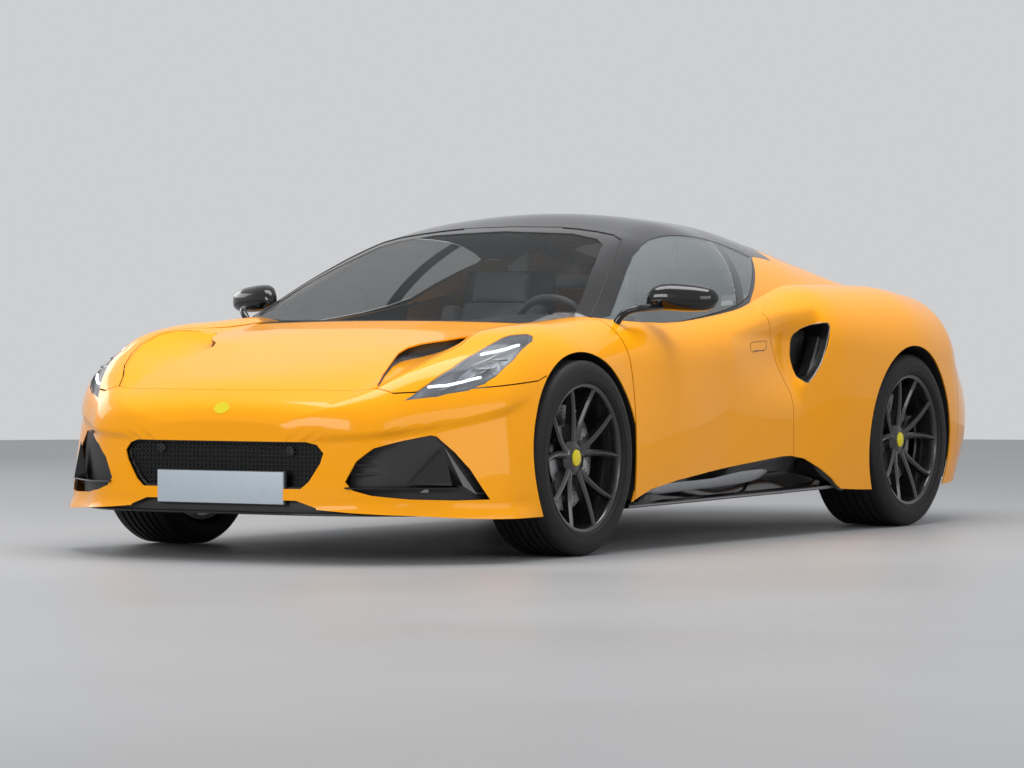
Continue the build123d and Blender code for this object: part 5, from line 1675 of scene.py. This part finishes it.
def spoke_bar(path, widths, tops, depths, bevel=0.34):
    """A spoke along a path of (radius, angle), with a flat face, bevelled edges and a deep back.
    tops are inward offsets of its face, depths its thickness there, and widths its width."""
    path = np.array(path, float)
    plane = np.stack([path[:, 0] * np.cos(path[:, 1]), path[:, 0] * np.sin(path[:, 1])], axis=1)
    run = np.gradient(plane, axis=0)
    run /= np.linalg.norm(run, axis=1, keepdims=True)
    cross = np.stack([-run[:, 1], run[:, 0]], axis=1)
    verts, flat = [], bevel * 0.5
    for p, c, w, top, deep in zip(plane, cross, widths, tops, depths):
        for share, down in ((-0.5, deep), (-0.5, 7.0), (-flat, 0.0), (flat, 0.0), (0.5, 7.0), (0.5, deep)):
            spot = p + c * w * share
            verts.append((spot[0], top + down, spot[1]))
    return verts, capped(len(path), 6)


class COUPE_OT_wheels(CoupeOperator):
    """Builds the four wheels with tyres, discs and calipers"""

    bl_idname = "coupe.wheels"
    bl_label = "Wheels"

    def execute(self, context):
        for axle, x, mid, radius, width, dish in WHEELS:
            for side, word in SIDES:
                where = f"{axle}_{word}"
                rides = f"wheel_{where}"
                outer = mid + width / 2 - 13
                y = side * outer
                self.rim(where, rides, x, y, radius, side, width, dish)
                self.tyre(where, rides, x, side * mid, radius, width)
                self.disc(where, rides, x, y - side * (dish + 46), radius, side)
                self.caliper(where, x, y - side * (dish + 61), radius, side, axle)
        return {"FINISHED"}

    def rim(self, where, rides, x, y, z, side, width, dish):
        section = [*RIM_SECTION, (width - 30, 234), (width - 30, 250), (width - 44, 252), (60, 252), (10, 256)]
        barrel = smooth(turned("barrel", section, x, y, z, side), 40)
        dress(barrel, f"rim_barrel_{where}", rides, [f"rim_{where}"], "wheel")
        t = np.linspace(0, 1, SPOKE_STEPS)
        arms = []
        for lean in (-1, 1):
            angle = math.pi / 2 + lean * (0.10 + 0.215 * t**0.9)
            path = np.stack([44 + (246 - 44) * t, angle], axis=1)
            widths = 30 - 13 * t**0.7
            tops = dish * (1 - t) ** 1.7 + 4 + 7 * np.sin(math.pi * t)
            depths = 44 - 20 * t
            arms.append(spoke_bar(path, widths, tops, depths))
        points, faces = [], []
        for verts, quads in arms:
            base = len(points)
            points += verts
            faces += [tuple(v + base for v in f) for f in quads]
        piece = mesh_from("spoke", [(px, -py, pz) if side > 0 else (px, py, pz) for px, py, pz in points], faces)
        centre = (x * 0.001, y * 0.001, z * 0.001)
        spokes = repeat("spokes", ring_tree(), piece=smooth(piece, 25), count=5, centre=centre,
                        material=finish("wheel"))
        # The spokes' bevel faces take the grey edge finish, a painted highlight on the black wheel.
        spokes.data.materials.append(finish("edge"))
        for face in spokes.data.polygons:
            if EDGE_TILT[0] < face.normal.y * side < EDGE_TILT[1]:
                face.material_index = 1
        dress(spokes, f"rim_spokes_{where}", rides)
        hub = turned("hub", [(dish - 2, 30), (dish - 4, 34), (dish + 2, 56), (dish + 14, 66), (dish + 44, 68),
                             (dish + 44, 30)], x, y, z, side, 96)
        dress(smooth(hub, 35), f"rim_hub_{where}", rides, (), "wheel")
        cap = turned("cap", [(dish - 6, 0.5), (dish - 6, 24), (dish - 4, 28), (dish, 30), (dish + 20, 30),
                             (dish + 20, 0.5)], x, y, z, side, 64)
        dress(smooth(cap, 35), f"rim_cap_{where}", rides, (), "cap")
        bolt = turned("bolt", BOLT_SECTION, 0, 0, 0, side, 18)
        bolt.data.transform(Matrix.Translation((0.0, -side * (dish + 1) * 0.001, BOLT_CIRCLE)))
        bolts = repeat("bolts", ring_tree(), piece=bolt, count=5, centre=centre, material=finish("steel"))
        dress(smooth(bolts, 35), f"wheel_bolts_{where}", rides)

    def tyre(self, where, rides, x, y, radius, width):
        w = width / 2
        wall = [(w - 12, 258), (w - 4, 264), (w, 280), (w - 0.5, 300), (w - 5, radius - 22), (w - 14, radius - 9),
                (w - 24, radius - 3.2)]
        tread = []
        for share in TREAD_GROOVES:
            middle, crown = share * (w - 34), radius - 0.5 - 3 * share * share
            tread += [(middle + 5, crown), (middle + 4, radius - 8), (middle - 4, radius - 8), (middle - 5, crown)]
        section = [*wall, *tread, *mirrored_front(reversed(wall))]
        piece = turned("tyre", section, x, y, radius, -1, 160)
        smooth(piece, 32)
        dress(piece, f"tyre_rubber_{where}", rides, [f"tyre_{where}"], "rubber")
        rings = []
        for offset, r in ((w - 1.5, 272), (w - 1.0, 300)):
            for s in (1, -1):
                line = [(x + r * math.cos(a), y + s * offset, radius + r * math.sin(a)) for a in around(128)]
                rings.append(tube(line, 1.2, closed=True, sides=6))
        dress(joined("rings", rings), f"tyre_rings_{where}", rides, (), "rubber")

    def disc(self, where, rides, x, y, z, side):
        piece = turned("disc", DISC_SECTION, x, y, z, side)
        dress(smooth(piece, 35), f"brake_disc_{where}", rides, (), "disc")
        bell = turned("bell", BELL_SECTION, x, y, z, side, 96)
        dress(smooth(bell, 35), f"brake_bell_{where}", rides, (), "aluminium")
        # Rings of dark plugs on the disc's face, painted shade standing for its drilled holes.
        parts = []
        for r, shift in HOLE_CIRCLES:
            hole = turned("hole", HOLE_SHADE_SECTION, 0, 0, 0, side, 10)
            hole.data.transform(Matrix.Translation((r * 0.001, 0, 0)))
            hole.data.transform(Matrix.Rotation(-shift * math.tau / 72, 4, "Y"))
            parts.append(repeat("holes", ring_tree(), piece=hole, count=24, centre=(x * 0.001, y * 0.001, z * 0.001),
                                material=finish("satin_plastic")))
        dress(joined("holes", parts), f"disc_holes_{where}", rides)

    def caliper(self, where, x, y, z, side, axle):
        angles = (-0.62, 0.50) if axle == "front" else (math.pi - 0.50, math.pi + 0.62)
        rows = []
        for a in np.linspace(*angles, 28):
            rows.append([(x + r * math.cos(a), y + side * off, z + r * math.sin(a)) for off, r in CALIPER_SECTION])
        piece = mesh_from("caliper", np.array(rows).reshape(-1, 3), capped(len(rows), len(CALIPER_SECTION)))
        rides = f"knuckle_{where.split('_')[1]}_body" if axle == "front" else "body"
        dress(bevelled(piece, 2.0), f"brake_caliper_{where}", rides, (), "caliper")


WHEELS = [
    # name, axle x, wheel's middle y, radius, tyre width, dish
    ("front", FRONT_AXLE_X, HALF_WIDTH - 22 - 122.5, 340.0, 245.0, 36.0),
    ("rear", REAR_AXLE_X, HALF_WIDTH - 12 - 147.5, 343.0, 295.0, 44.0),
]


# ---------------------------------------------------------------- sides
def on_side(x, z, skin=None):
    """How far out the skin lies at (x, z) in side view, in millimetres."""
    skin = skin or body()
    hit, *_ = skin.tree.ray_cast(Vector((x * 0.001, 3.0, z * 0.001)), Vector((0, -1, 0)))
    if hit is None:
        raise ValueError(f"no skin beside x {x}, z {z}")
    return hit.y * 1000.0


# Blade in the sill: x, upper z, lower z, y.
SKIRT_WING = [
    (850, 206, 200, 878), (806, 215, 197, 884), (738, 224, 196, 886), (647, 231, 199, 886),
    (540, 233, 201, 886), (462, 234, 203, 886), (321, 238, 207, 885), (210, 248, 210, 885),
    (105, 256, 214, 884), (0, 259, 221, 882), (-60, 259, 229, 880), (-118, 257, 244, 872),
    (-140, 254, 249, 842),
]
# Mirror pod: y, middle x, half length, middle z, half height.
MIRROR_POD = [
    (806, 664, 8, 884, 8),
    (812, 662, 30, 890, 26),
    (830, 650, 50, 898, 42),
    (856, 638, 62, 901, 50),
    (890, 626, 68, 902, 51),
    (930, 614, 68, 899, 51),
    (975, 603, 62, 896, 48),
    (1010, 594, 52, 893, 42),
    (1032, 588, 38, 893, 33),
    (1045, 582, 14, 896, 11),
]
MIRROR_BACK = 0.42  # depth behind the pod's middle, as a share of that ahead of it
MIRROR_ARM = [(874, 786, 796), (868, 806, 828), (852, 828, 849), (815, 848, 858), (765, 858, 861), (715, 862, 863),
              (665, 866, 866)]


HANDLE = [(-12, 728), (-34, 735), (-172, 740), (-182, 733), (-177, 713), (-158, 706), (-30, 698), (-13, 706)]


class COUPE_OT_sides(CoupeOperator):
    """Builds the side scoops, skirts, mirrors, door handles and wheel arch returns"""

    bl_idname = "coupe.sides"
    bl_label = "Side details"

    def execute(self, context):
        for side, word in SIDES:
            turn = np.array([1, side, 1])
            self.scoop(turn, word)
            self.skirt(turn, word)
            self.mirror(turn, word)
            self.handle(turn, word)
            self.arch(turn, word, FRONT_AXLE_X, FRONT_ARCH_Z, FRONT_ARCH_R, "front")
            self.arch(turn, word, REAR_AXLE_X, REAR_ARCH_Z, REAR_ARCH_R, "rear")
        return {"FINISHED"}

    def arch(self, turn, word, x, z, radius, where):
        """The dark return inside a wheel arch's edge."""
        rows, out, wide = [], 900.0, radius + 9.0
        for angle in np.linspace(math.radians(-24), math.radians(204), 90):
            c, s = math.cos(angle), math.sin(angle)
            px, pz = x + radius * c, z + radius * s
            beside = Vector(((x + wide * c) * 0.001, 3.0, (z + wide * s) * 0.001))
            hit, *_ = body().tree.ray_cast(beside, Vector((0, -1, 0)))
            if hit is not None:
                out = hit.y * 1000
            rows.append([(px, out - 7, pz), (px, out - 60, pz), (px, 690, pz)])
        piece = smooth(ribbon(np.array(rows) * turn, -2.0 * turn[1]), 50)
        trim(piece, f"arch_return_{where}_{word}")

    def scoop(self, turn, word):
        outline = resampled(SCOOP, 60)
        edge = [(x, min(on_side(x, z), 905), z) for x, z in outline]
        points = []
        for depth in (0.0, 40.0, 90.0, 130.0):
            for x, y, z in edge:
                px, pz = SCOOP_MIDDLE + (np.array([x, z]) - SCOOP_MIDDLE) * (1 - depth / 700.0)
                points.append((px - depth * 0.55, y - 6 - depth, pz))
        count, tip = len(outline), len(points)
        points = np.array([*points, SCOOP_END]) * turn
        faces = grid_faces(4, count, closed=True)
        faces += [(3 * count + k, 3 * count + (k + 1) % count, tip) for k in range(count)]
        duct = mesh_from("duct", points, faces)
        duct.modifiers.new("wall", "SOLIDIFY").thickness = 0.003
        apply_modifiers(duct)
        trim(smooth(duct, 40), f"scoop_duct_{word}")
        # A grey tube round the scoop's edge, a painted highlight on its lip.
        rim = np.array([(x, y - 4, z) for x, y, z in edge]) * turn
        trim(tube(rim, 2.6, closed=True, sides=8), f"scoop_rim_{word}", "edge")
        blade = [[(x - 10, 820, z), (x - 1, 861, z), (x + 4, 858, z), (x + 2, 820, z)]
                 for x, z in evenly(SCOOP_BLADE, 20)]
        for z, level in ((712.0, "upper"), (645.0, "lower")):
            x = np.interp(z, [588, 752], [-486, -590])
            strut = ribbon(np.array([[(x, 850, z + t), (x - 34, 846, z + t)] for t in (-1.5, 1.5)]) * turn, 3.0)
            dress(strut, f"scoop_strut_{level}_{word}", "body", (), "bright")
        piece = smooth(ribbon(np.array(blade) * turn, 4.0), 60)
        dress(piece, f"scoop_blade_{word}", "body", (), "bright")

    def skirt(self, turn, word):
        """The black sill: a flared blade under the rocker line, with a grey tube along its lower edge as a painted
        highlight.
        """
        rows, edge, wing = [], [], []
        for x in np.linspace(DOOR_FRONT_X + 10, DOOR_REAR_X - 400, 64):
            top = np.interp(-x, [-p[0] for p in ROCKER_LINE], [p[1] for p in ROCKER_LINE])
            base = np.interp(x, [-624, 944], [176, 158])
            y = on_side(x, max(top + 12, 180))
            foot = np.interp(x, [-730, -500, 600, 960], [876, 896, 900, 890])
            rise = max(top - base, 6.0)
            hollow = min(58.0, rise * 0.5)
            rows.append([
                (x, y - 8, top + 8), (x, y - 12 - hollow * 0.35, top - 4), (x, y - 18 - hollow, top - rise * 0.45),
                (x, foot - 20 - hollow * 0.5, base + 9), (x, foot, base + 3), (x, foot + 1, base - 3),
                (x, foot - 60, base - 8), (x, 742, base - 10),
            ])
            edge.append((x, foot + 0.5, base))
        piece = smooth(ribbon(np.array(rows) * turn, 3.0), 38)
        trim(piece, f"side_skirt_{word}", "gloss_black", replaces=["side_skirts"])
        # The grey tube along the skirt's lower edge is a painted highlight.
        trim(tube(np.array(edge) * turn, 3.2, sides=8), f"skirt_edge_{word}", "edge")
        for x, high, low, y in SKIRT_WING:
            wing.append([(x, y, high), (x, y + 5, (high + low) / 2), (x, y - 6, low)])
        dress(smooth(ribbon(np.array(wing) * turn, 4.0), 60), f"skirt_wing_{word}", "body", (), "wing")

    def mirror(self, turn, word):
        """A pod on a curved stalk, with the glass facing back."""
        rides = f"door_{word}_body"
        points = []
        for y, x, a, z, b in evenly(MIRROR_POD, 26):
            for angle in around(40):
                c, s = math.cos(angle), math.sin(angle)
                back = MIRROR_BACK if c < 0 else 1.0
                px = x + a * back * np.sign(c) * abs(c) ** 0.85
                points.append((px, y, z + b * np.sign(s) * abs(s) ** 0.8 - 10 * max(0, c) * 0.4))
        pod = mesh_from("pod", np.array(points) * turn, capped(26, 40))
        dress(smooth(pod, 50), f"mirror_pod_{word}", rides, [f"mirror_{word}"], "gloss_black")
        arm = smooth_rows([(k, *p) for k, p in enumerate(MIRROR_ARM)], np.linspace(0, len(MIRROR_ARM) - 1, 25))
        stalk = tube(np.array(arm)[:, -3:] * turn, 13.5, sides=16)
        dress(smooth(stalk, 60), f"mirror_stalk_{word}", rides, (), "gloss_black")
        glass, table = [], np.array(MIRROR_POD, float)
        for y in np.linspace(846, 1022, 14):
            x, a, z, b = (np.interp(y, table[:, 0], table[:, k]) for k in (1, 2, 3, 4))
            face_x = x - a * MIRROR_BACK - 1.5
            glass.append([(face_x, y, z - b * 0.78), (face_x, y, z + b * 0.78)])
        face = ribbon(np.array(glass) * turn, 1.5)
        dress(face, f"mirror_glass_{word}", rides, (), "chrome")

    def handle(self, turn, word):
        rides = f"door_{word}_body"
        ring = [(x, on_side(x, z) + 0.1, z) for x, z in resampled(HANDLE, 80)]
        trim(tube(np.array(ring) * turn, 1.0, closed=True, sides=6), f"handle_seam_{word}", body_name=rides)
        grip = [[(x, on_side(x, z) + out, z) for z, out in ((700, -0.8), (703, 0.6), (706, -0.5))]
                for x in np.linspace(-36, -150, 8)]
        trim(ribbon(np.array(grip) * turn, 2.0), f"handle_grip_{word}", "gloss_black", body_name=rides)


# ---------------------------------------------------------------- rear
SLAT_HALF = ([460, 560, 760, 850], [515, 560, 548, 462])  # heights, and half widths there
PIPE_Y = 95.0
PIPE_SECTION = [(0, 58), (2, 62), (190, 62), (190, 57), (4, 56)]  # inward offset, radius
DIFFUSER_FIN = [(TAIL_X + 300, 196), (TAIL_X + 60, 330), (TAIL_X + 60, 380), (TAIL_X + 300, 300)]


class COUPE_OT_rear(CoupeOperator):
    """Builds the tail lamps, the tail panel, the diffuser and the exhausts"""

    bl_idname = "coupe.rear"
    bl_label = "Rear details"

    def execute(self, context):
        skin = body()
        lamp = skin.shell(6.0, TAIL_X - 10, TAILGATE_REAR_X + 60, depth=3.0)
        other = copy_of(lamp, "lamp_right")
        for piece, word, outline in ((lamp, "left", TAIL_LAMP), (other, "right", mirrored_front(TAIL_LAMP))):
            boolean(piece, [front_prism(grown(outline, -1.5), BEHIND, TAILGATE_REAR_X + 38)], "INTERSECT")
            skin.polish(piece)
            dress(piece, f"tail_lamp_{word}", "body", ["tail_lamps"], "red")
        trim(box_prism(TAIL_X + 66, TAIL_X + 72, -586, 586, 440, 860), "tail_back")
        slats = []
        for z in range(500, 850, 34):
            half = np.interp(z, *SLAT_HALF)
            slats.append(box_prism(TAIL_X + 30, TAIL_X + 60, -half, half, z, z + 7))
        trim(bevelled(joined("slats", slats), 1.5), "tail_slats", "gloss_black")
        for side, word in SIDES:
            pipe = turned("pipe", PIPE_SECTION, 0, 0, 0, 1, 64)
            pipe.data.transform(Matrix.Rotation(math.radians(90), 4, "Z"))
            pipe.data.transform(Matrix.Translation(((TAIL_X + 22) * 0.001, side * PIPE_Y * 0.001, 0.330)))
            dress(smooth(pipe, 40), f"exhaust_{word}", "body", (), "chrome")
        fins = [side_prism(DIFFUSER_FIN, y - 4, y + 4) for y in (-480, -320, -200, 200, 320, 480)]
        trim(joined("fins", fins), "diffuser_fins", "gloss_black")
        return {"FINISHED"}


# ---------------------------------------------------------------- cabin
def cushion(rows, half, thick, puff):
    """A stuffed pad, half to each side of a path of (x, z) rows. Its face bulges by puff."""
    path = np.array(rows, float)
    run = np.gradient(path, axis=0)
    run /= np.linalg.norm(run, axis=1, keepdims=True)
    out = np.stack([run[:, 1], -run[:, 0]], axis=1)
    verts, count, across = [], len(path), 24
    for i, (p, n) in enumerate(zip(path, out)):
        end = math.sin(math.pi * np.clip((i + 0.5) / count, 0, 1)) ** 0.35
        ring = []
        for a in around(across):
            c, s = math.cos(a), math.sin(a)
            y = half * np.sign(c) * abs(c) ** 0.45
            lift = thick * 0.5 * np.sign(s) * abs(s) ** 0.5 + (puff * (1 - (y / half) ** 2) if s > 0 else 0)
            ring.append((p[0] + n[0] * lift * end, y, p[1] + n[1] * lift * end))
        verts += ring
    return verts, capped(count, across)


SEAT_Y = 370.0
SEAT_CUSHION = [(392, 318), (380, 352), (340, 366), (250, 356), (150, 338), (60, 322), (-20, 312), (-50, 308)]
SEAT_BACK = [(-110, 330), (-122, 420), (-150, 530), (-185, 650), (-222, 760), (-250, 850), (-262, 880)]
HEADREST = [(-256, 892), (-266, 930), (-280, 975), (-292, 1000)]
# Name, path, half width, thickness, bulge, and how far the side wings sit from the path.
SEAT_PADS = (
    ("base", SEAT_CUSHION, 168, 60, 14, (0, 26)),
    ("back", SEAT_BACK, 165, 54, 12, (30, 0)),
    ("headrest", HEADREST, 120, 56, 8, None),
)
SEAT_SHELL = [(-70, 200), (-120, 300), (-150, 420), (-180, 530), (-214, 650), (-250, 760), (-278, 850), (-300, 960),
              (-312, 1010)]
TRIM_LINE = ((680, 74), (560, 84), (520, 116), (470, 96), (340, 84))  # height, and depth inside the door's skin
DASH_PROFILE = [(1010, 796), (900, 812), (800, 814), (710, 800), (668, 776), (655, 740), (668, 700), (720, 650),
                (760, 610)]


class COUPE_OT_cabin(CoupeOperator):
    """Builds the seats, the dashboard's face, the steering wheel's rim and the door trims"""

    bl_idname = "coupe.cabin"
    bl_label = "Cabin"

    def execute(self, context):
        for side, word in SIDES:
            self.seat(side, word)
        self.dash()
        self.steering()
        self.trims()
        return {"FINISHED"}

    def seat(self, side, word):
        y = side * SEAT_Y
        for name, rows, half, thick, puff, wing_shift in SEAT_PADS:
            dense = evenly(rows, 30)
            verts, faces = cushion(dense, half, thick, puff)
            pad = smooth(mesh_from("pad", [(a, b + y, c) for a, b, c in verts], faces), 60)
            dress(pad, f"seat_{name}_{word}", "body", ["seats"] if name == "base" else (), "cloth")
            for edge in (-1, 1) if wing_shift else ():
                verts, faces = cushion(dense[2:-2] + wing_shift, 34, 86, 10)
                wing = mesh_from("wing", [(a, b + y + edge * (half + 30), c) for a, b, c in verts], faces)
                label = f"seat_{name}_wing_{'outer' if edge * side > 0 else 'inner'}_{word}"
                dress(smooth(wing, 60), label, "body", (), "cloth")
        rows = [[(x - 44, y - 205 + 410 * t, z) for t in np.linspace(0, 1, 9)] for x, z in SEAT_SHELL]
        trim(smooth(ribbon(np.array(rows), 8.0), 50), f"seat_shell_{word}", "gloss_black")
        trim(bevelled(box_prism(-60, 360, y - 190, y + 190, 178, 292), 12), f"seat_frame_{word}")

    def dash(self):
        rows = []
        for x, z in evenly(DASH_PROFILE, 40):
            row = []
            for y in np.linspace(-694, 694, 57):
                hood = 34 * math.exp(-(((y - SEAT_Y) / 190.0) ** 4)) * math.exp(-(((x - 700) / 90.0) ** 2))
                row.append((x, y, z + hood))
            rows.append(row)
        trim(smooth(ribbon(np.array(rows), 4.0), 50), "dash_skin")
        screen = box_prism(640, 648, -130, 130, 706, 800)
        middle = Matrix.Translation((0.644, 0, 0.75))
        screen.data.transform(middle @ Matrix.Rotation(math.radians(14), 4, "Y") @ middle.inverted())
        dress(bevelled(screen, 3), "dash_screen", "body", (), "gloss_black")
        cluster = box_prism(668, 674, SEAT_Y - 130, SEAT_Y + 130, 742, 818)
        dress(bevelled(cluster, 3), "dash_cluster", "body", (), "gloss_black")
        vents = [box_prism(646, 664, y - 45, y + 45, z, z + 4)
                 for y in (-560, -200, 200, 560) for z in range(740, 780, 10)]
        trim(joined("vents", vents), "dash_vents", "gloss_black")
        trim(bevelled(box_prism(-330, 640, -104, 104, 410, 436), 8), "tunnel_top")
        trim(bevelled(box_prism(286, 320, -20, 20, 434, 500), 8), "gear_lever", "gloss_black")

    def steering(self):
        a, b = np.array([DOOR_FRONT_X - 330, SEAT_Y, 720.0]), np.array([DOOR_FRONT_X - 180, SEAT_Y, 680.0])
        axis = (a - b) / np.linalg.norm(a - b)
        middle = a + axis * 40
        up = np.array([0, 0, 1.0]) - axis * axis[2]
        up /= np.linalg.norm(up)
        across = np.cross(up, axis)
        rim = []
        for t in around(96):
            c, s = math.cos(t), math.sin(t)
            rim.append(middle + 174 * (across * c + up * (s if s > -0.82 else -0.82)))
        wheel = tube(rim, 15.0, closed=True, sides=14)
        dress(wheel, "steering_rim", "steering_wheel_body", ["steering_wheel"], "satin_plastic")
        spokes = []
        for start, end in (((-30, 8), (-165, 10)), ((30, 8), (165, 10)), ((0, -30), (0, -140))):
            p = middle + across * start[0] + up * start[1]
            q = middle + across * end[0] + up * end[1]
            spokes.append(tube([p, (p + q) / 2 - axis * 6, q], 11.0, sides=10))
        dress(joined("spokes", spokes), "steering_spokes", "steering_wheel_body", (), "chrome")
        ring = []
        for r, h in ((0.5, 18), (40, 18), (52, 10), (54, -16), (0.5, -16)):
            ring += [middle + axis * h + r * (across * math.cos(t) + up * math.sin(t)) for t in around(40)]
        hub = mesh_from("hub", ring, grid_faces(5, 40, closed=True))
        dress(smooth(hub, 40), "steering_hub", "steering_wheel_body", (), "satin_plastic")

    def trims(self):
        for side, word in SIDES:
            rows = []
            for x in np.linspace(DOOR_FRONT_X - 110, DOOR_REAR_X + 150, 40):
                belt = np.interp(-x, [-p[0] for p in BELT_LINE], [p[1] for p in BELT_LINE])
                line = ((belt - 8, 24), (belt - 34, 44), *TRIM_LINE)
                rows.append([(x, on_side(x, z) - inset, z) for z, inset in line])
            piece = smooth(ribbon(np.array(rows) * [1, side, 1], 4.0), 45)
            trim(piece, f"door_trim_{word}", body_name=f"door_{word}_body")


# ---------------------------------------------------------------- cowl
class COUPE_OT_inner(CoupeOperator):
    """Builds the cowl cover under the windscreen"""

    bl_idname = "coupe.inner"
    bl_label = "Cowl"

    def execute(self, context):
        cowl = body().shell(4.0, 800, HOOD_REAR_X + 30, depth=10.0)
        front = HOOD_REAR_X - 4
        boolean(cowl, [plan_prism([(front, 588), (820, 730), (820, -730), (front, -588)], 600, ABOVE)], "INTERSECT")
        trim(smooth(cowl, 40), "cowl_cover", replaces=["scuttle"])
        return {"FINISHED"}


# ---------------------------------------------------------------- what the frame itself shows
FRAME_FINISH = {
    "satin_plastic": ["scuttle", "arch_liners", "front_splitter", "side_skirts", "diffuser", "dashboard", "console",
                      "steering_wheel", "mirror_left", "mirror_right", "grilles"],
    "aluminium": ["tub", "engine"],
    "steel": ["front_suspension", "rear_suspension", "knuckle_left", "knuckle_right"],
    "cloth": ["seats"],
    "rubber": ["tyre_front_left", "tyre_front_right", "tyre_rear_left", "tyre_rear_right"],
    "wheel": ["rim_front_left", "rim_front_right", "rim_rear_left", "rim_rear_right"],
    "plate": ["number_plate"],
    "red": ["tail_lamps"],
    "chrome": ["headlamps"],
}


class COUPE_OT_frame(CoupeOperator):
    """Gives the frame's own pieces their finishes"""

    bl_idname = "coupe.frame"
    bl_label = "Frame finishes"

    def execute(self, context):
        for finish_name, nodes in FRAME_FINISH.items():
            for node in nodes:
                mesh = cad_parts[node].data
                mesh.materials.clear()
                mesh.materials.append(finish(finish_name))
        return {"FINISHED"}


OPERATORS = (
    COUPE_OT_stage,
    COUPE_OT_frame,
    COUPE_OT_hood,
    COUPE_OT_panels,
    COUPE_OT_greenhouse,
    COUPE_OT_front,
    COUPE_OT_wheels,
    COUPE_OT_sides,
    COUPE_OT_rear,
    COUPE_OT_cabin,
    COUPE_OT_inner,
)


class COUPE_PT_panel(bpy.types.Panel):
    bl_label = "Coupe"
    bl_idname = "COUPE_PT_panel"
    bl_space_type = "VIEW_3D"
    bl_region_type = "UI"
    bl_category = "Coupe"

    def draw(self, context):
        for name in ("body", "body_deep", "floor", "backdrop"):
            self.layout.prop(context.scene.coupe_colors, name)
        for name in ("lens", "eye", "look", "key_light"):
            self.layout.prop(context.scene.coupe_sizes, name)
        for operator in OPERATORS:
            self.layout.operator(operator.bl_idname)


CLASSES = (CoupeColors, CoupeSizes, *OPERATORS, COUPE_PT_panel)


def register():
    for item in CLASSES:
        bpy.utils.register_class(item)
    bpy.types.Scene.coupe_colors = bpy.props.PointerProperty(type=CoupeColors)
    bpy.types.Scene.coupe_sizes = bpy.props.PointerProperty(type=CoupeSizes)


def unregister():
    del bpy.types.Scene.coupe_sizes
    del bpy.types.Scene.coupe_colors
    for item in reversed(CLASSES):
        bpy.utils.unregister_class(item)


def main():
    register()
    for operator in OPERATORS:
        group, name = operator.bl_idname.split(".")
        getattr(getattr(bpy.ops, group), name)()


if __name__ == "__main__":
    main()
